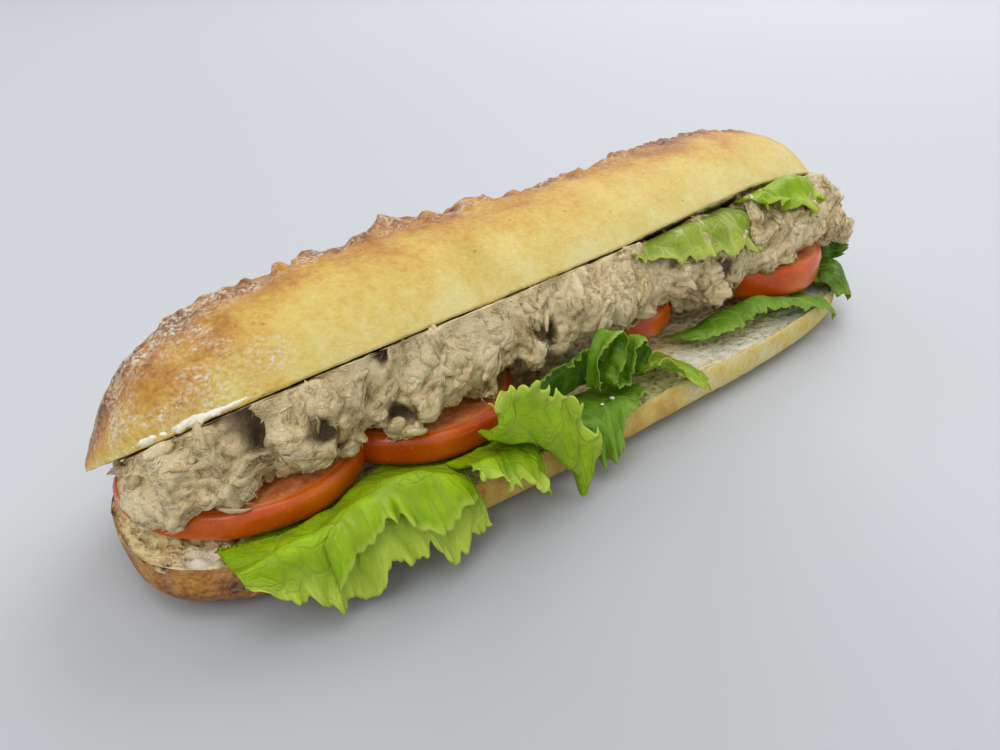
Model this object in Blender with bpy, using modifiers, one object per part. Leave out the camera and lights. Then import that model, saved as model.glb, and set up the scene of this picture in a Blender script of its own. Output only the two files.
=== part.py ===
"""A long filled roll: one slit and hinged loaf with lettuce, four tomato slices and flaked fish.

Lengths are millimetres up to the point where a mesh is made. +X runs along the loaf, -Y is the open
front, +Z is up and the loaf's flat underside lies on z = 0.
"""
import math
import random

import bmesh
import bpy
from mathutils import Vector, noise

MM = 0.001
GAP = 0.35
# How much a neighbour is grown before it is cut out of a leaf or a slice, and out of the fish
CUT_GROWTH = 0.5
FISH_GROWTH = 0.65

# The loaf: a rounded block 270 long and 77 wide, slit from the front and left joined at the back
LOAF_HALF = 135.0
LOAF_SIDE = 38.5
LOAF_SQUARE = 3.2
LOWER_LIP = 14.3
LOWER_FACE = 12.7
LOWER_BELLY = 9.0
FLAT_TRIM = 0.8
HINGE_Y = 36.0
HINGE_Z = 10.0
UPPER_BACK = -4.0
UPPER_FRONT = 71.0
UPPER_ROUND = 2.15
# How far the upper half is opened, in degrees, and how thick it is, at places along the loaf
OPENING = ((-135, 32.5), (-100, 34.5), (-50, 36.5), (0, 38.5), (40, 41.5), (70, 43.5), (135, 44.5))
THICKNESS = ((-135, 9), (-130, 15), (-124, 19), (-114, 24), (-100, 28), (-80, 30), (-50, 30.8),
             (20, 32), (70, 34), (105, 32.2), (120, 29), (129, 22.5), (135, 12))
HOLLOW = ((0, 0), (3, 0), (9, 9.5), (25, 10), (38, 3), (55, 0), (80, 0))
RIDGE_HEIGHT = 2.8
RIDGE_FORWARD = 0.38
RIDGE_WIDE = 0.36
RIDGE_REST = 0.2
CRUST_WAVE = 0.9
NICK_X = -43.0
NICK_WIDE = 4.5
NICK_DEEP = 4.0
TIP_NUB = 2.0
CRUMB_RELIEF = 0.35
# The lower lip's set-back from the widest part, and the width over which it slopes to the crumb
LIP_INSET = 0.9
LIP_SLOPE = 6.0
STATION_STEP = 11.0
TIP_STATIONS = 6
TIP_START = 104.0

# Tomato slices: centre x, y, underside z, radius, thickness, how round the back is left
SLICES = {
    "tomato_1": (-102.5, 5.5, 15.7, 30.5, 7.6, 0.62),
    "tomato_2": (-56.5, 1.0, 16.4, 29.5, 8.8, 0.85),
    "tomato_3": (23.0, 7.0, 18.2, 25.0, 9.0, 0.85),
    "tomato_4": (91.0, 2.0, 19.4, 31.5, 11.0, 0.76),
}
SLICE_SIDES = 28
SLICE_EDGE = 2.6
SLICE_WOBBLE = 0.018

# A leaf's thickness, how far it stays off bread and slices, its fine wrinkles and its lobes' depth
LEAF_THICK = 1.1
LEAF_CLEAR = 1.3
LEAF_WRINKLE = 0.8
LEAF_LOBE = 0.10

# The fish filling's front: x, foot y, foot z, belly y, how far its top stays below the lip
FISH_FRONT = (
    (-134, 6, 28, 4, 0), (-130, -4, 26, -8, 0), (-126, -13, 23, -18, 0), (-118, -17, 23, -23, 0),
    (-109, -12, 25, -21, 0), (-100, -17, 25, -25, 0), (-88, -11, 26, -22, 0), (-76, -9, 27, -21, 0),
    (-62, -19, 27, -25, 0), (-50, -18, 28, -25, 0), (-42, -14, 31, -22, 0), (-32, -14, 33, -22, 0),
    (-12, -20, 34, -27, 0), (4, -18, 33, -26, 0), (16, -17, 32, -23, 4), (36, -17, 32, -23, 4),
    (50, -19, 30, -23, 5), (66, -20, 31, -24, 5), (80, -22, 32, -26, 4), (92, -22, 32, -26, 4),
    (104, -18, 32, -23, 7), (116, -13, 30, -19, 6), (128, -10, 26, -17, 6), (138, -6, 26, -12, 10),
)
FISH_ENDS = (-133.0, 136.0)
FISH_BACK = 15.0
FISH_FLOOR = 19.0
FISH_ROOM = 1.0
FISH_UNDER = 26.0
FISH_TAPER = 7.0
FISH_TRIANGLES = 1500
FISH_STATIONS = 44
FISH_GRAIN = 1.5
LUMPS = 84
LUMP_SIZES = (3.4, 6.2)
# Chunks that hang out: over the first slice, between slices, over the dark leaf, at the far end
FISH_CHUNKS = (
    (-126, -14, 24, 4.2), (-124, -15, 29, 5.5), (-73, -21, 27, 4.5), (-69, -23, 32, 5),
    (-47, -20, 33, 5), (-33, -24, 36, 4.5), (-33, -23, 43, 5), (14, -21, 35, 5), (30, -20, 35, 5),
    (48, -21, 30, 5.5), (44, -20, 37, 6), (84, -25, 35, 4), (124, -12, 35, 9), (131, -14, 32, 7.5),
    (116, -15, 38, 6), (138, -15, 29, 5.5), (132, -9, 38, 5),
)

# Leaves: ribs run from the tucked root to the free edge, and follow one another along the loaf
LEAVES = {
    "lettuce_front": {
        "ribs": (
            ((-121, -20, 14.6), (-121, -29, 16.5), (-121, -33, 17.0), (-120, -37, 14.5)),
            ((-112, -20, 14.6), (-112, -30, 17.5), (-111, -36, 19.5), (-109, -41, 5.5)),
            ((-103, -20, 14.6), (-103, -31, 19.0), (-102, -38, 21.0), (-101, -43, 0.5)),
            ((-95, -20, 14.6), (-95, -31, 20.0), (-94, -39, 24.0), (-92, -45, 3.5)),
            ((-87, -18, 14.6), (-87, -31, 23.0), (-86, -39, 26.5), (-84, -47, 8.0)),
            ((-78, -16, 14.8), (-78, -31, 21.0), (-77, -40, 24.0), (-76, -47, 2.5)),
            ((-66, -16, 14.8), (-66, -32, 18.0), (-65, -40, 17.5), (-64, -46, 5.5)),
        ),
        "grid": (27, 5), "waves": 3.4, "ruffle": 1.5, "seed": 1.3,
    },
    "lettuce_frill_low": {
        "ribs": (
            ((-66, -22, 15.4), (-66, -33, 19.0), (-66, -40, 23.5), (-69, -44, 23.0)),
            ((-60, -22, 15.4), (-60, -34, 19.5), (-61, -41, 23.0), (-64, -46, 18.0)),
            ((-54, -22, 15.4), (-54, -34, 19.5), (-55, -41, 21.0), (-57, -47, 13.0)),
            ((-48, -22, 15.4), (-48, -34, 19.0), (-49, -41, 18.0), (-51, -46, 9.5)),
            ((-43, -22, 15.4), (-43, -34, 18.0), (-44, -41, 14.5), (-46, -45, 7.0)),
        ),
        "grid": (15, 6), "waves": 2.3, "ruffle": 1.6, "seed": 4.1,
    },
    "lettuce_frill_high": {
        "ribs": (
            ((-58, -32, 25.0), (-60, -40, 28.0), (-59, -41, 33.0), (-57, -38, 37.0)),
            ((-53, -31.5, 24.0), (-55, -41, 26.0), (-55, -42, 34.0), (-54, -39.5, 42.0)),
            ((-46, -31, 23.5), (-48, -42, 23.0), (-48, -43, 31.5), (-47, -40, 41.0)),
            ((-40, -31.5, 22.5), (-43, -43, 19.0), (-42, -44, 27.0), (-41.5, -40, 36.5)),
            ((-35, -32.5, 20.5), (-39, -45, 14.0), (-37.5, -45, 22.0), (-36, -41, 32.0)),
            ((-31, -34, 18.0), (-36, -46, 9.0), (-34, -46, 15.0), (-30.5, -43, 24.0)),
            ((-30, -36, 13.0), (-35, -46.5, 3.5), (-32, -47, 8.0), (-28.5, -45.5, 17.0)),
        ),
        "grid": (20, 6), "waves": 3.6, "ruffle": 1.7, "seed": 8.7,
    },
    "lettuce_dark_low": {
        "ribs": (
            ((-27, -24, 15.5), (-27, -33, 18.0), (-26, -38, 15.5), (-25, -41, 4.5)),
            ((-23, -24, 15.5), (-23, -34, 18.5), (-21, -41, 16.0), (-20, -44, 2.5)),
            ((-17, -24, 15.5), (-17, -34, 19.0), (-16, -40, 20.0), (-15, -43, 12.0)),
            ((-9, -24, 15.5), (-9, -33, 17.5), (-9, -38, 18.5), (-9, -42, 17.0)),
            ((-1, -24, 15.5), (-1, -32, 17.0), (-1, -36, 18.0), (-2, -39, 16.5)),
        ),
        "grid": (13, 6), "waves": 2.3, "ruffle": 1.5, "seed": 2.9,
    },
    "lettuce_dark_high": {
        "ribs": (
            ((-38, -24, 19.0), (-39, -26, 24.0), (-40, -28, 29.0), (-41, -29, 32.0)),
            ((-30, -25, 19.0), (-31, -28, 25.0), (-32, -30, 31.0), (-32, -31, 35.0)),
            ((-22, -25, 19.0), (-23, -28, 26.0), (-23, -30, 32.0), (-23, -31, 36.0)),
            ((-14, -23, 18.0), (-15, -26, 25.0), (-15, -28, 30.0), (-15, -29, 33.0)),
            ((-6, -22, 18.0), (-6, -24, 22.0), (-6, -26, 25.0), (-6, -27, 27.0)),
        ),
        "grid": (14, 5), "waves": 3.0, "ruffle": 1.5, "seed": 6.2,
    },
    "lettuce_roll": {
        "ribs": (
            ((-20, -32, 24), (-20, -35, 25), (-21, -38, 25)),
            ((-20, -32, 34), (-20, -35, 35), (-21, -38, 35)),
            ((-16, -31, 39), (-16, -35, 40), (-17, -39, 40)),
            ((-12, -31, 36), (-12, -35, 37), (-13, -39, 37)),
            ((-14, -31, 30), (-14, -35, 31), (-14, -39, 30)),
            ((-15, -31, 24), (-15, -35, 25), (-15, -38, 24)),
            ((-8, -30, 22), (-8, -34, 22), (-8, -38, 22)),
            ((-5, -29, 28), (-5, -34, 28), (-6, -38, 28)),
            ((-3, -29, 33), (-3, -33, 34), (-4, -37, 34)),
            ((1, -28, 28), (1, -33, 28), (0, -36, 28)),
            ((0, -28, 22), (0, -32, 21), (0, -35, 21)),
        ),
        "grid": (26, 3), "waves": 2.0, "ruffle": 0.4, "seed": 3.3,
    },
    "lettuce_flat": {
        "ribs": (
            ((2, -20, 15.2), (2, -28, 18.0), (1, -34, 23.0), (-1, -38, 27.0)),
            ((9, -20, 15.2), (9, -28, 18.0), (9, -35, 21.0), (9, -40, 22.5)),
            ((16, -20, 15.2), (16, -29, 17.0), (17, -37, 17.0), (19, -42, 12.0)),
            ((22, -22, 15.2), (22, -29, 16.0), (23, -36, 15.5), (24, -42, 8.5)),
        ),
        "grid": (12, 5), "waves": 2.0, "ruffle": 1.0, "seed": 5.5,
    },
    "lettuce_strip": {
        "ribs": (
            ((31, -16, 15.5), (31, -20, 17.0), (32, -23, 18.0), (32, -26, 17.0)),
            ((42, -18, 16.0), (42, -23, 19.0), (43, -27, 20.0), (43, -31, 17.0)),
            ((53, -18, 16.5), (53, -23, 21.0), (54, -28, 21.5), (54, -32, 17.5)),
            ((64, -19, 16.5), (64, -24, 22.0), (65, -28, 24.5), (66, -32, 19.0)),
            ((76, -21, 15.5), (77, -26, 19.0), (78, -30, 20.5), (79, -34, 16.5)),
            ((88, -22, 15.5), (89, -28, 17.5), (91, -33, 18.0), (93, -37, 13.0)),
            ((96, -22, 15.5), (97, -29, 17.0), (99, -34, 15.5), (101, -37, 7.0)),
        ),
        "grid": (22, 4), "waves": 3.0, "ruffle": 1.4, "seed": 7.1,
    },
    "lettuce_end_low": {
        "ribs": (
            ((105, -12, 15.5), (106, -21, 17.5), (107, -29, 18.5), (108, -34, 13.0)),
            ((112, -10, 15.5), (113, -20, 18.0), (115, -28, 19.0), (117, -34, 9.5)),
            ((119, -8, 15.5), (121, -17, 18.0), (123, -25, 18.0), (126, -30, 6.0)),
            ((124, -3, 15.5), (128, -10, 17.5), (132, -17, 18.0), (137, -21, 7.0)),
        ),
        "grid": (12, 5), "waves": 2.3, "ruffle": 1.3, "seed": 9.4,
    },
    "lettuce_end_high": {
        "ribs": (
            ((124, -1, 19.5), (129, -10, 18.5), (135, -15, 17.0), (140, -18, 18.0)),
            ((126, 0, 22.5), (131, -8, 22.0), (137, -13, 21.5), (144, -17, 21.5)),
            ((127, 2, 26.0), (132, -5, 26.5), (139, -11, 27.0), (148, -15, 25.5)),
        ),
        "grid": (8, 8), "waves": 1.6, "ruffle": 1.2, "seed": 11.8,
    },
    "lettuce_top_pale": {
        "ribs": (
            ((9, -8, 45.0), (8, -14, 50.0), (7, -18.5, 51.5), (5, -22.5, 50.0)),
            ((20, -7, 45.5), (20, -14, 51.0), (18.5, -20, 52.0), (16.5, -25, 46.0)),
            ((33, -6, 46.0), (33, -14, 52.0), (33, -21, 52.0), (33, -26, 43.0)),
            ((46, -5, 47.0), (46, -14, 52.5), (46, -21, 50.5), (46.5, -26, 40.5)),
            ((58, -5, 47.0), (58, -13, 52.0), (59, -20.5, 49.5), (60, -25.5, 38.5)),
            ((68, -4, 46.5), (68, -12, 51.0), (68.5, -19, 49.0), (68.5, -23.5, 39.5)),
        ),
        "grid": (18, 6), "waves": 3.2, "ruffle": 1.5, "seed": 12.5,
    },
    "lettuce_top_bright": {
        "ribs": (
            ((66, -7, 49.0), (65.5, -13, 53.5), (66, -18, 55.0), (67, -22.5, 52.5)),
            ((74, -7, 49.5), (74, -13, 54.5), (74, -19, 56.5), (75, -24, 50.0)),
            ((83, -6, 50.0), (83, -12, 55.5), (84, -19, 57.5), (84, -24.5, 46.0)),
            ((92, -5, 50.0), (92, -12, 55.5), (93, -19.5, 57.0), (93, -25, 43.0)),
            ((100, -3, 49.0), (101, -10, 54.0), (102, -17, 54.5), (100, -22.5, 46.0)),
            ((107, 0, 47.0), (109, -7, 51.0), (110, -13, 52.0), (107, -18.5, 48.0)),
        ),
        "grid": (18, 5), "waves": 3.4, "ruffle": 1.9, "seed": 14.2,
    },
}


def clear_scene():
    for obj in list(bpy.data.objects):
        bpy.data.objects.remove(obj, do_unlink=True)


def collection(name):
    made = bpy.data.collections.new(name)
    bpy.context.scene.collection.children.link(made)
    return made


def material(name, colour, roughness):
    made = bpy.data.materials.new(name)
    made.use_nodes = True
    shader = made.node_tree.nodes["Principled BSDF"]
    shader.inputs["Base Color"].default_value = (*colour, 1.0)
    shader.inputs["Roughness"].default_value = roughness
    return made


def smooth_step(value):
    """0 below 0, 1 above 1 and a soft rise between."""
    value = min(max(value, 0.0), 1.0)
    return value * value * (3.0 - 2.0 * value)


def along(table, x):
    """The values of a table at x, in proportion between the rows on either side."""
    if x <= table[0][0]:
        return table[0][1:]
    for low, high in zip(table, table[1:]):
        if x <= high[0]:
            share = (x - low[0]) / (high[0] - low[0])
            return tuple(a + (b - a) * share for a, b in zip(low[1:], high[1:]))
    return table[-1][1:]


def rough(x, y, z, size):
    return noise.noise(Vector((x / size, y / size, z / size)))


def plan_share(x):
    """The share of its full width that the loaf has at x."""
    reach = min(abs(x) / LOAF_HALF, 1.0)
    return (1.0 - reach ** LOAF_SQUARE) ** (1.0 / LOAF_SQUARE)


def loaf_stations():
    """Places along the loaf, even in the middle and closer where the tips turn in."""
    start = math.asin((TIP_START / LOAF_HALF) ** (LOAF_SQUARE / 2.0))
    tips = []
    for k in range(TIP_STATIONS):
        angle = start + (math.pi / 2 - start) * (k + 0.5) / TIP_STATIONS
        tips.append(LOAF_HALF * math.sin(angle) ** (2.0 / LOAF_SQUARE))
    count = round(2 * TIP_START / STATION_STEP)
    middle = [-TIP_START + 2 * TIP_START * k / count for k in range(count + 1)]
    return [-x for x in reversed(tips)] + middle + tips


def tilt(x):
    return math.radians(along(OPENING, x)[0])


def from_upper(x, u, w):
    """World place of a point u along the upper half's cut face and w out towards its crust."""
    angle = tilt(x)
    y = HINGE_Y - u * math.cos(angle) + w * math.sin(angle)
    return x, y, HINGE_Z + u * math.sin(angle) + w * math.cos(angle)


def to_upper(x, y, z):
    angle = tilt(x)
    back, up = y - HINGE_Y, z - HINGE_Z
    u = -back * math.cos(angle) + up * math.sin(angle)
    return u, back * math.sin(angle) + up * math.cos(angle)


def upper_ring(x, dome_steps, face_steps):
    """Section of the upper half: its crust from back to front, then its hollowed cut face."""
    share = plan_share(x)
    middle = (UPPER_BACK + UPPER_FRONT) / 2
    reach = (UPPER_FRONT - UPPER_BACK) / 2 * share
    nick = NICK_DEEP * math.exp(-((x - NICK_X) / NICK_WIDE) ** 2)
    thick = along(THICKNESS, x)[0] * min(1.0, share * 1.5)
    ring = []
    for k in range(dome_steps + 1):
        angle = math.pi * k / dome_steps
        side = -math.cos(angle)
        u = middle + reach * math.copysign(abs(side) ** (2 / UPPER_ROUND), side)
        w = thick * abs(math.sin(angle)) ** (2 / UPPER_ROUND)
        crown = max(0.0, 1.0 - abs(u - middle - RIDGE_FORWARD * reach) / (RIDGE_WIDE * reach + 1e-6))
        torn = RIDGE_REST + 1.1 * rough(x, u, 3.0, 11.0) + 0.7 * rough(x, u, 9.0, 4.5)
        w += RIDGE_HEIGHT * smooth_step(crown) * torn * share
        w += CRUST_WAVE * rough(x, u, 20.0, 16.0) * math.sin(angle)
        u -= nick * smooth_step((u - middle) / reach * 4 - 3)
        ring.append(from_upper(x, u, w))
    for k in range(1, face_steps):
        u = middle + reach * (1 - 2 * k / face_steps)
        depth = along(HOLLOW, u)[0] * smooth_step((share - 0.45) / 0.35)
        w = depth + CRUMB_RELIEF * rough(x, u, 40.0, 5.0)
        ring.append(from_upper(x, u, w))
    return ring


def lower_ring(x, belly_steps, face_steps):
    """Section of the lower half: its crust from front to back under the loaf, then its cut face."""
    share = plan_share(x)
    half = LOAF_SIDE * share
    ring = []
    for k in range(belly_steps + 1):
        angle = math.pi * k / belly_steps
        across = -math.cos(angle)
        y = half * math.copysign(abs(across) ** (2 / 3), across)
        drop = (LOWER_BELLY + FLAT_TRIM) * math.sin(angle) ** (2 / 3) * min(1.0, share * 1.25)
        y += 0.5 * rough(x, y, 60.0, 13.0) * abs(across)
        ring.append((x, y, max(LOWER_BELLY - drop, 0.0)))
    inset = min(LIP_INSET, half * 0.1)
    lip = LOWER_LIP - 1.2 * smooth_step((0.5 - share) / 0.4)
    ring.append((x, half - inset, lip))
    for k in range(1, face_steps):
        y = (half - 2.2 * inset - 1.0) * (1 - 2 * k / face_steps)
        sag = (LOWER_LIP - LOWER_FACE) * smooth_step((half - abs(y)) / LIP_SLOPE)
        ring.append((x, y, lip - sag + CRUMB_RELIEF * rough(x, y, 80.0, 5.0)))
    ring.append((x, -half + inset, lip))
    return ring


def loft(name, rings, cap_lift, finish, home):
    """A closed skin over rings of equal length, each end closed on a middle point."""
    shape = bmesh.new()
    rows = [[shape.verts.new(Vector(p) * MM) for p in ring] for ring in rings]
    for low, high in zip(rows, rows[1:]):
        for k in range(len(low)):
            n = (k + 1) % len(low)
            shape.faces.new((low[k], low[n], high[n], high[k]))
    for row, side in ((rows[0], -1), (rows[-1], 1)):
        middle = sum((v.co for v in row), Vector()) / len(row)
        tip = shape.verts.new(middle + Vector((side * cap_lift * MM, 0, 0)))
        for k in range(len(row)):
            n = (k + 1) % len(row)
            shape.faces.new((row[k], row[n], tip) if side > 0 else (row[n], row[k], tip))
    bmesh.ops.recalc_face_normals(shape, faces=shape.faces)
    return as_object(name, shape, finish, home)


def as_object(name, shape, finish, home):
    mesh = bpy.data.meshes.new(name)
    shape.to_mesh(mesh)
    shape.free()
    mesh.materials.append(finish)
    mesh.shade_smooth()
    made = bpy.data.objects.new(name, mesh)
    home.objects.link(made)
    return made


def applied(obj):
    """The object with its modifiers made part of its mesh."""
    bpy.context.view_layer.update()
    seen = obj.evaluated_get(bpy.context.evaluated_depsgraph_get())
    mesh = bpy.data.meshes.new_from_object(seen)
    obj.modifiers.clear()
    obj.data = mesh
    return obj


def joined(obj, pieces):
    """One Boolean union of the object with every piece of a collection."""
    union = obj.modifiers.new("union", "BOOLEAN")
    union.operation = "UNION"
    union.operand_type = "COLLECTION"
    union.collection = pieces
    applied(obj)
    for piece in list(pieces.objects):
        bpy.data.objects.remove(piece, do_unlink=True)
    return obj


def grown(obj, amount, home):
    """A cutter: a copy of a solid with its skin moved out."""
    cutter = obj.copy()
    cutter.data = obj.data.copy()
    home.objects.link(cutter)
    cutter.hide_render = True
    cutter.display_type = "WIRE"
    outward = [vert.normal.copy() for vert in cutter.data.vertices]
    for vert, normal in zip(cutter.data.vertices, outward):
        vert.co += normal * amount * MM
    return cutter


def boxes_meet(one, other):
    """Whether two solids come near enough to each other to need a cut."""
    lows, highs = [], []
    for obj in (one, other):
        corners = [Vector(corner) for corner in obj.bound_box]
        lows.append([min(c[k] for c in corners) - GAP * MM for k in range(3)])
        highs.append([max(c[k] for c in corners) + GAP * MM for k in range(3)])
    return all(lows[0][k] < highs[1][k] and lows[1][k] < highs[0][k] for k in range(3))


def cut_by(obj, neighbour, amount, spare):
    """Takes a grown neighbour out of a solid, which leaves a gap between them."""
    if not boxes_meet(obj, neighbour):
        return obj
    cutter = grown(neighbour, amount, spare)
    cut = obj.modifiers.new("cut", "BOOLEAN")
    cut.operation = "DIFFERENCE"
    cut.object = cutter
    applied(obj)
    bpy.data.objects.remove(cutter, do_unlink=True)
    return keep_largest(obj)


def keep_largest(obj):
    """Drops loose scraps that a cut leaves, and welds what it leaves almost touching."""
    shape = bmesh.new()
    shape.from_mesh(obj.data)
    bmesh.ops.remove_doubles(shape, verts=shape.verts, dist=0.00002)
    bmesh.ops.dissolve_degenerate(shape, edges=shape.edges, dist=0.00002)
    islands, seen = [], set()
    for start in shape.verts:
        if start in seen:
            continue
        island, front = [], [start]
        seen.add(start)
        while front:
            vert = front.pop()
            island.append(vert)
            for edge in vert.link_edges:
                other = edge.other_vert(vert)
                if other not in seen:
                    seen.add(other)
                    front.append(other)
        islands.append(island)
    islands.sort(key=len, reverse=True)
    loose = [vert for island in islands[1:] for vert in island]
    bmesh.ops.delete(shape, geom=loose, context="VERTS")
    shape.to_mesh(obj.data)
    shape.free()
    return obj


def bread(finish, home, spare):
    """Both halves of the loaf, fused along the uncut back."""
    stations = loaf_stations()
    lower = loft("bread", [lower_ring(x, 12, 7) for x in stations], 0.4, finish, home)
    stations = sorted(stations + [NICK_X - NICK_WIDE, NICK_X, NICK_X + NICK_WIDE])
    loft("bread_upper", [upper_ring(x, 16, 9) for x in stations], TIP_NUB, finish, spare)
    return joined(lower, spare)


def slice_solid(name, spec, finish, home):
    """A round slice with a soft rim, its back a little flattened."""
    x, y, under, radius, thick, back = spec
    bpy.ops.mesh.primitive_cylinder_add(
        vertices=SLICE_SIDES, radius=radius * MM, depth=thick * MM, location=(0, 0, 0))
    made = bpy.context.object
    made.name = name
    for parent in list(made.users_collection):
        parent.objects.unlink(made)
    home.objects.link(made)
    soft = made.modifiers.new("rim", "BEVEL")
    soft.width = SLICE_EDGE * MM
    soft.segments = 2
    soft.limit_method = "ANGLE"
    applied(made)
    for vert in made.data.vertices:
        wobble = 1.0 + SLICE_WOBBLE * rough(vert.co.x * 1000 + x, vert.co.y * 1000, 7.0, 14.0)
        vert.co.x = vert.co.x * wobble + x * MM
        vert.co.y = vert.co.y * wobble * (back if vert.co.y > 0 else 1.0) + y * MM
        vert.co.z += (under + thick / 2) * MM
    made.data.materials.clear()
    made.data.materials.append(finish)
    made.data.shade_smooth()
    return made


def catmull(points, place):
    """A smooth curve through points, at a place from 0 to 1."""
    span = place * (len(points) - 1)
    k = min(int(span), len(points) - 2)
    t = span - k
    a, b, c, d = (points[min(max(k + i, 0), len(points) - 1)] for i in (-1, 0, 1, 2))
    return 0.5 * ((2 * b) + (c - a) * t + (2 * a - 5 * b + 4 * c - d) * t * t
                  + (3 * b - a - 3 * c + d) * t * t * t)


def out_of_the_way(p, thick):
    """A leaf's point pushed off the loaf's halves and the tomato slices."""
    room = LEAF_CLEAR + thick / 2
    x, y, z = p
    for cx, cy, under, radius, tall, back in SLICES.values():
        away = Vector((x - cx, (y - cy) / (back if y > cy else 1.0)))
        over, below = under + tall + room - z, z - (under - room)
        side = radius + room - away.length
        if min(over, below, side) > 0:
            if side <= min(over, below) and away.length > 1:
                away *= (radius + room) / away.length
                x, y = cx + away.x, cy + away.y * (back if y > cy else 1.0)
            elif below <= over:
                z = under - room
            else:
                z = under + tall + room
    half = LOAF_SIDE * plan_share(x)
    rest = LOWER_FACE + 0.9 + thick / 2 if abs(y) < half - 7 else LOWER_LIP + 0.7 + thick / 2
    reach = (abs(x) / (LOAF_HALF + room)) ** LOAF_SQUARE + (abs(y) / (LOAF_SIDE + room)) ** LOAF_SQUARE
    outward = reach ** (-1 / LOAF_SQUARE)
    if z < rest and outward > 1:
        if (outward - 1) * math.hypot(x * 0.2, y) < rest - z:
            x, y = x * outward, y * outward
        else:
            z = rest
    u, w = to_upper(x, y, z)
    if 0 < u < UPPER_FRONT * 0.97 and -room < w < 20:
        x, y, z = from_upper(x, u, -room)
    return Vector((x, y, max(z, 0.8 + thick)))


def leaf_point(spec, s, t):
    """A place on a leaf: s runs along it and t from its tucked root to its ruffled edge."""
    ribs = [[Vector(p) for p in rib] for rib in spec["ribs"]]
    p = catmull([catmull(rib, t) for rib in ribs], s)
    step = 0.01
    s1, t1 = min(s + step, 1.0), min(t + step, 1.0)
    s0, t0 = s1 - 2 * step, t1 - 2 * step
    du = catmull([catmull(rib, t) for rib in ribs], s1) - catmull([catmull(rib, t) for rib in ribs], s0)
    dv = catmull([catmull(rib, t1) for rib in ribs], s) - catmull([catmull(rib, t0) for rib in ribs], s)
    normal = du.cross(dv)
    if normal.length > 1e-9:
        normal.normalize()
    turn = 2 * math.pi * (s * spec["waves"] + 0.35 * rough(s * 40, t * 15, spec["seed"], 10.0))
    swell = 0.65 + 0.7 * (0.5 + rough(s * 90, spec["seed"], 4.0, 10.0))
    p += normal * (spec["ruffle"] * swell * t * t * t * math.sin(turn))
    p += normal * (LEAF_WRINKLE * rough(s * 60, t * 30, spec["seed"] + 5.0, 9.0))
    return p


def leaf_edge(spec, s):
    """How far towards its edge the leaf reaches at s, which makes its outline lobed."""
    lobe = abs(math.sin(math.pi * (s * spec["waves"] * 1.5 + spec["seed"])))
    return 1.0 - LEAF_LOBE * (1 - lobe) - 0.06 * (1 + rough(s * 50, spec["seed"], 2.0, 5.0))


def leaf(name, spec, finish, home):
    """A thin wavy sheet on a grid, thickened evenly, with both faces split alike."""
    columns, rows = spec["grid"]
    shape = bmesh.new()
    bmesh.ops.create_grid(shape, x_segments=columns, y_segments=rows, size=0.5)
    bmesh.ops.triangulate(shape, faces=shape.faces)
    for vert in shape.verts:
        s, t = vert.co.x + 0.5, (vert.co.y + 0.5) * leaf_edge(spec, vert.co.x + 0.5)
        vert.co = out_of_the_way(leaf_point(spec, s, t), LEAF_THICK) * MM
    made = as_object(name, shape, finish, home)
    solid = made.modifiers.new("thickness", "SOLIDIFY")
    solid.thickness = LEAF_THICK * MM
    solid.offset = 0.0
    return applied(made)


def fish_ring(x):
    """Section of the fish filling's core: floor, front belly, top under the upper half, back."""
    foot_y, foot_z, belly_y, below = along(FISH_FRONT, x)
    share = smooth_step(min(x - FISH_ENDS[0], FISH_ENDS[1] - x) / FISH_TAPER)
    edge = (UPPER_BACK + UPPER_FRONT) / 2 + (UPPER_FRONT - UPPER_BACK) / 2 * plan_share(x)
    lip = Vector(from_upper(x, min(UPPER_FRONT - 4, edge + 1) - below * 0.5, -FISH_ROOM - below))
    back = Vector(from_upper(x, FISH_UNDER, -FISH_ROOM))
    ring = [Vector((x, FISH_BACK, FISH_FLOOR)), Vector((x, (FISH_BACK + foot_y) / 2, FISH_FLOOR)),
            Vector((x, foot_y + 3, min(FISH_FLOOR + 2, foot_z))), Vector((x, foot_y, foot_z)),
            Vector((x, belly_y, foot_z + 0.3 * (lip.z - foot_z))),
            Vector((x, belly_y, foot_z + 0.7 * (lip.z - foot_z))),
            lip, (lip * 2 + back) / 3, (lip + back * 2) / 3, back]
    middle = sum(ring, Vector()) / len(ring)
    return [middle + (p - middle) * (0.3 + 0.7 * share) for p in ring]


def fish_lump(place, size, finish, home, seed):
    """A chunk of flaked fish: a ball pulled out of round by noise."""
    shape = bmesh.new()
    bmesh.ops.create_icosphere(shape, subdivisions=2, radius=1.0)
    for vert in shape.verts:
        d = vert.co.normalized()
        pull = 1.0 + 0.42 * noise.noise(d * 1.7 + Vector((seed, 0, 0)))
        vert.co = (Vector(place) + d * size * pull) * MM
    return as_object("lump", shape, finish, home)


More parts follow.
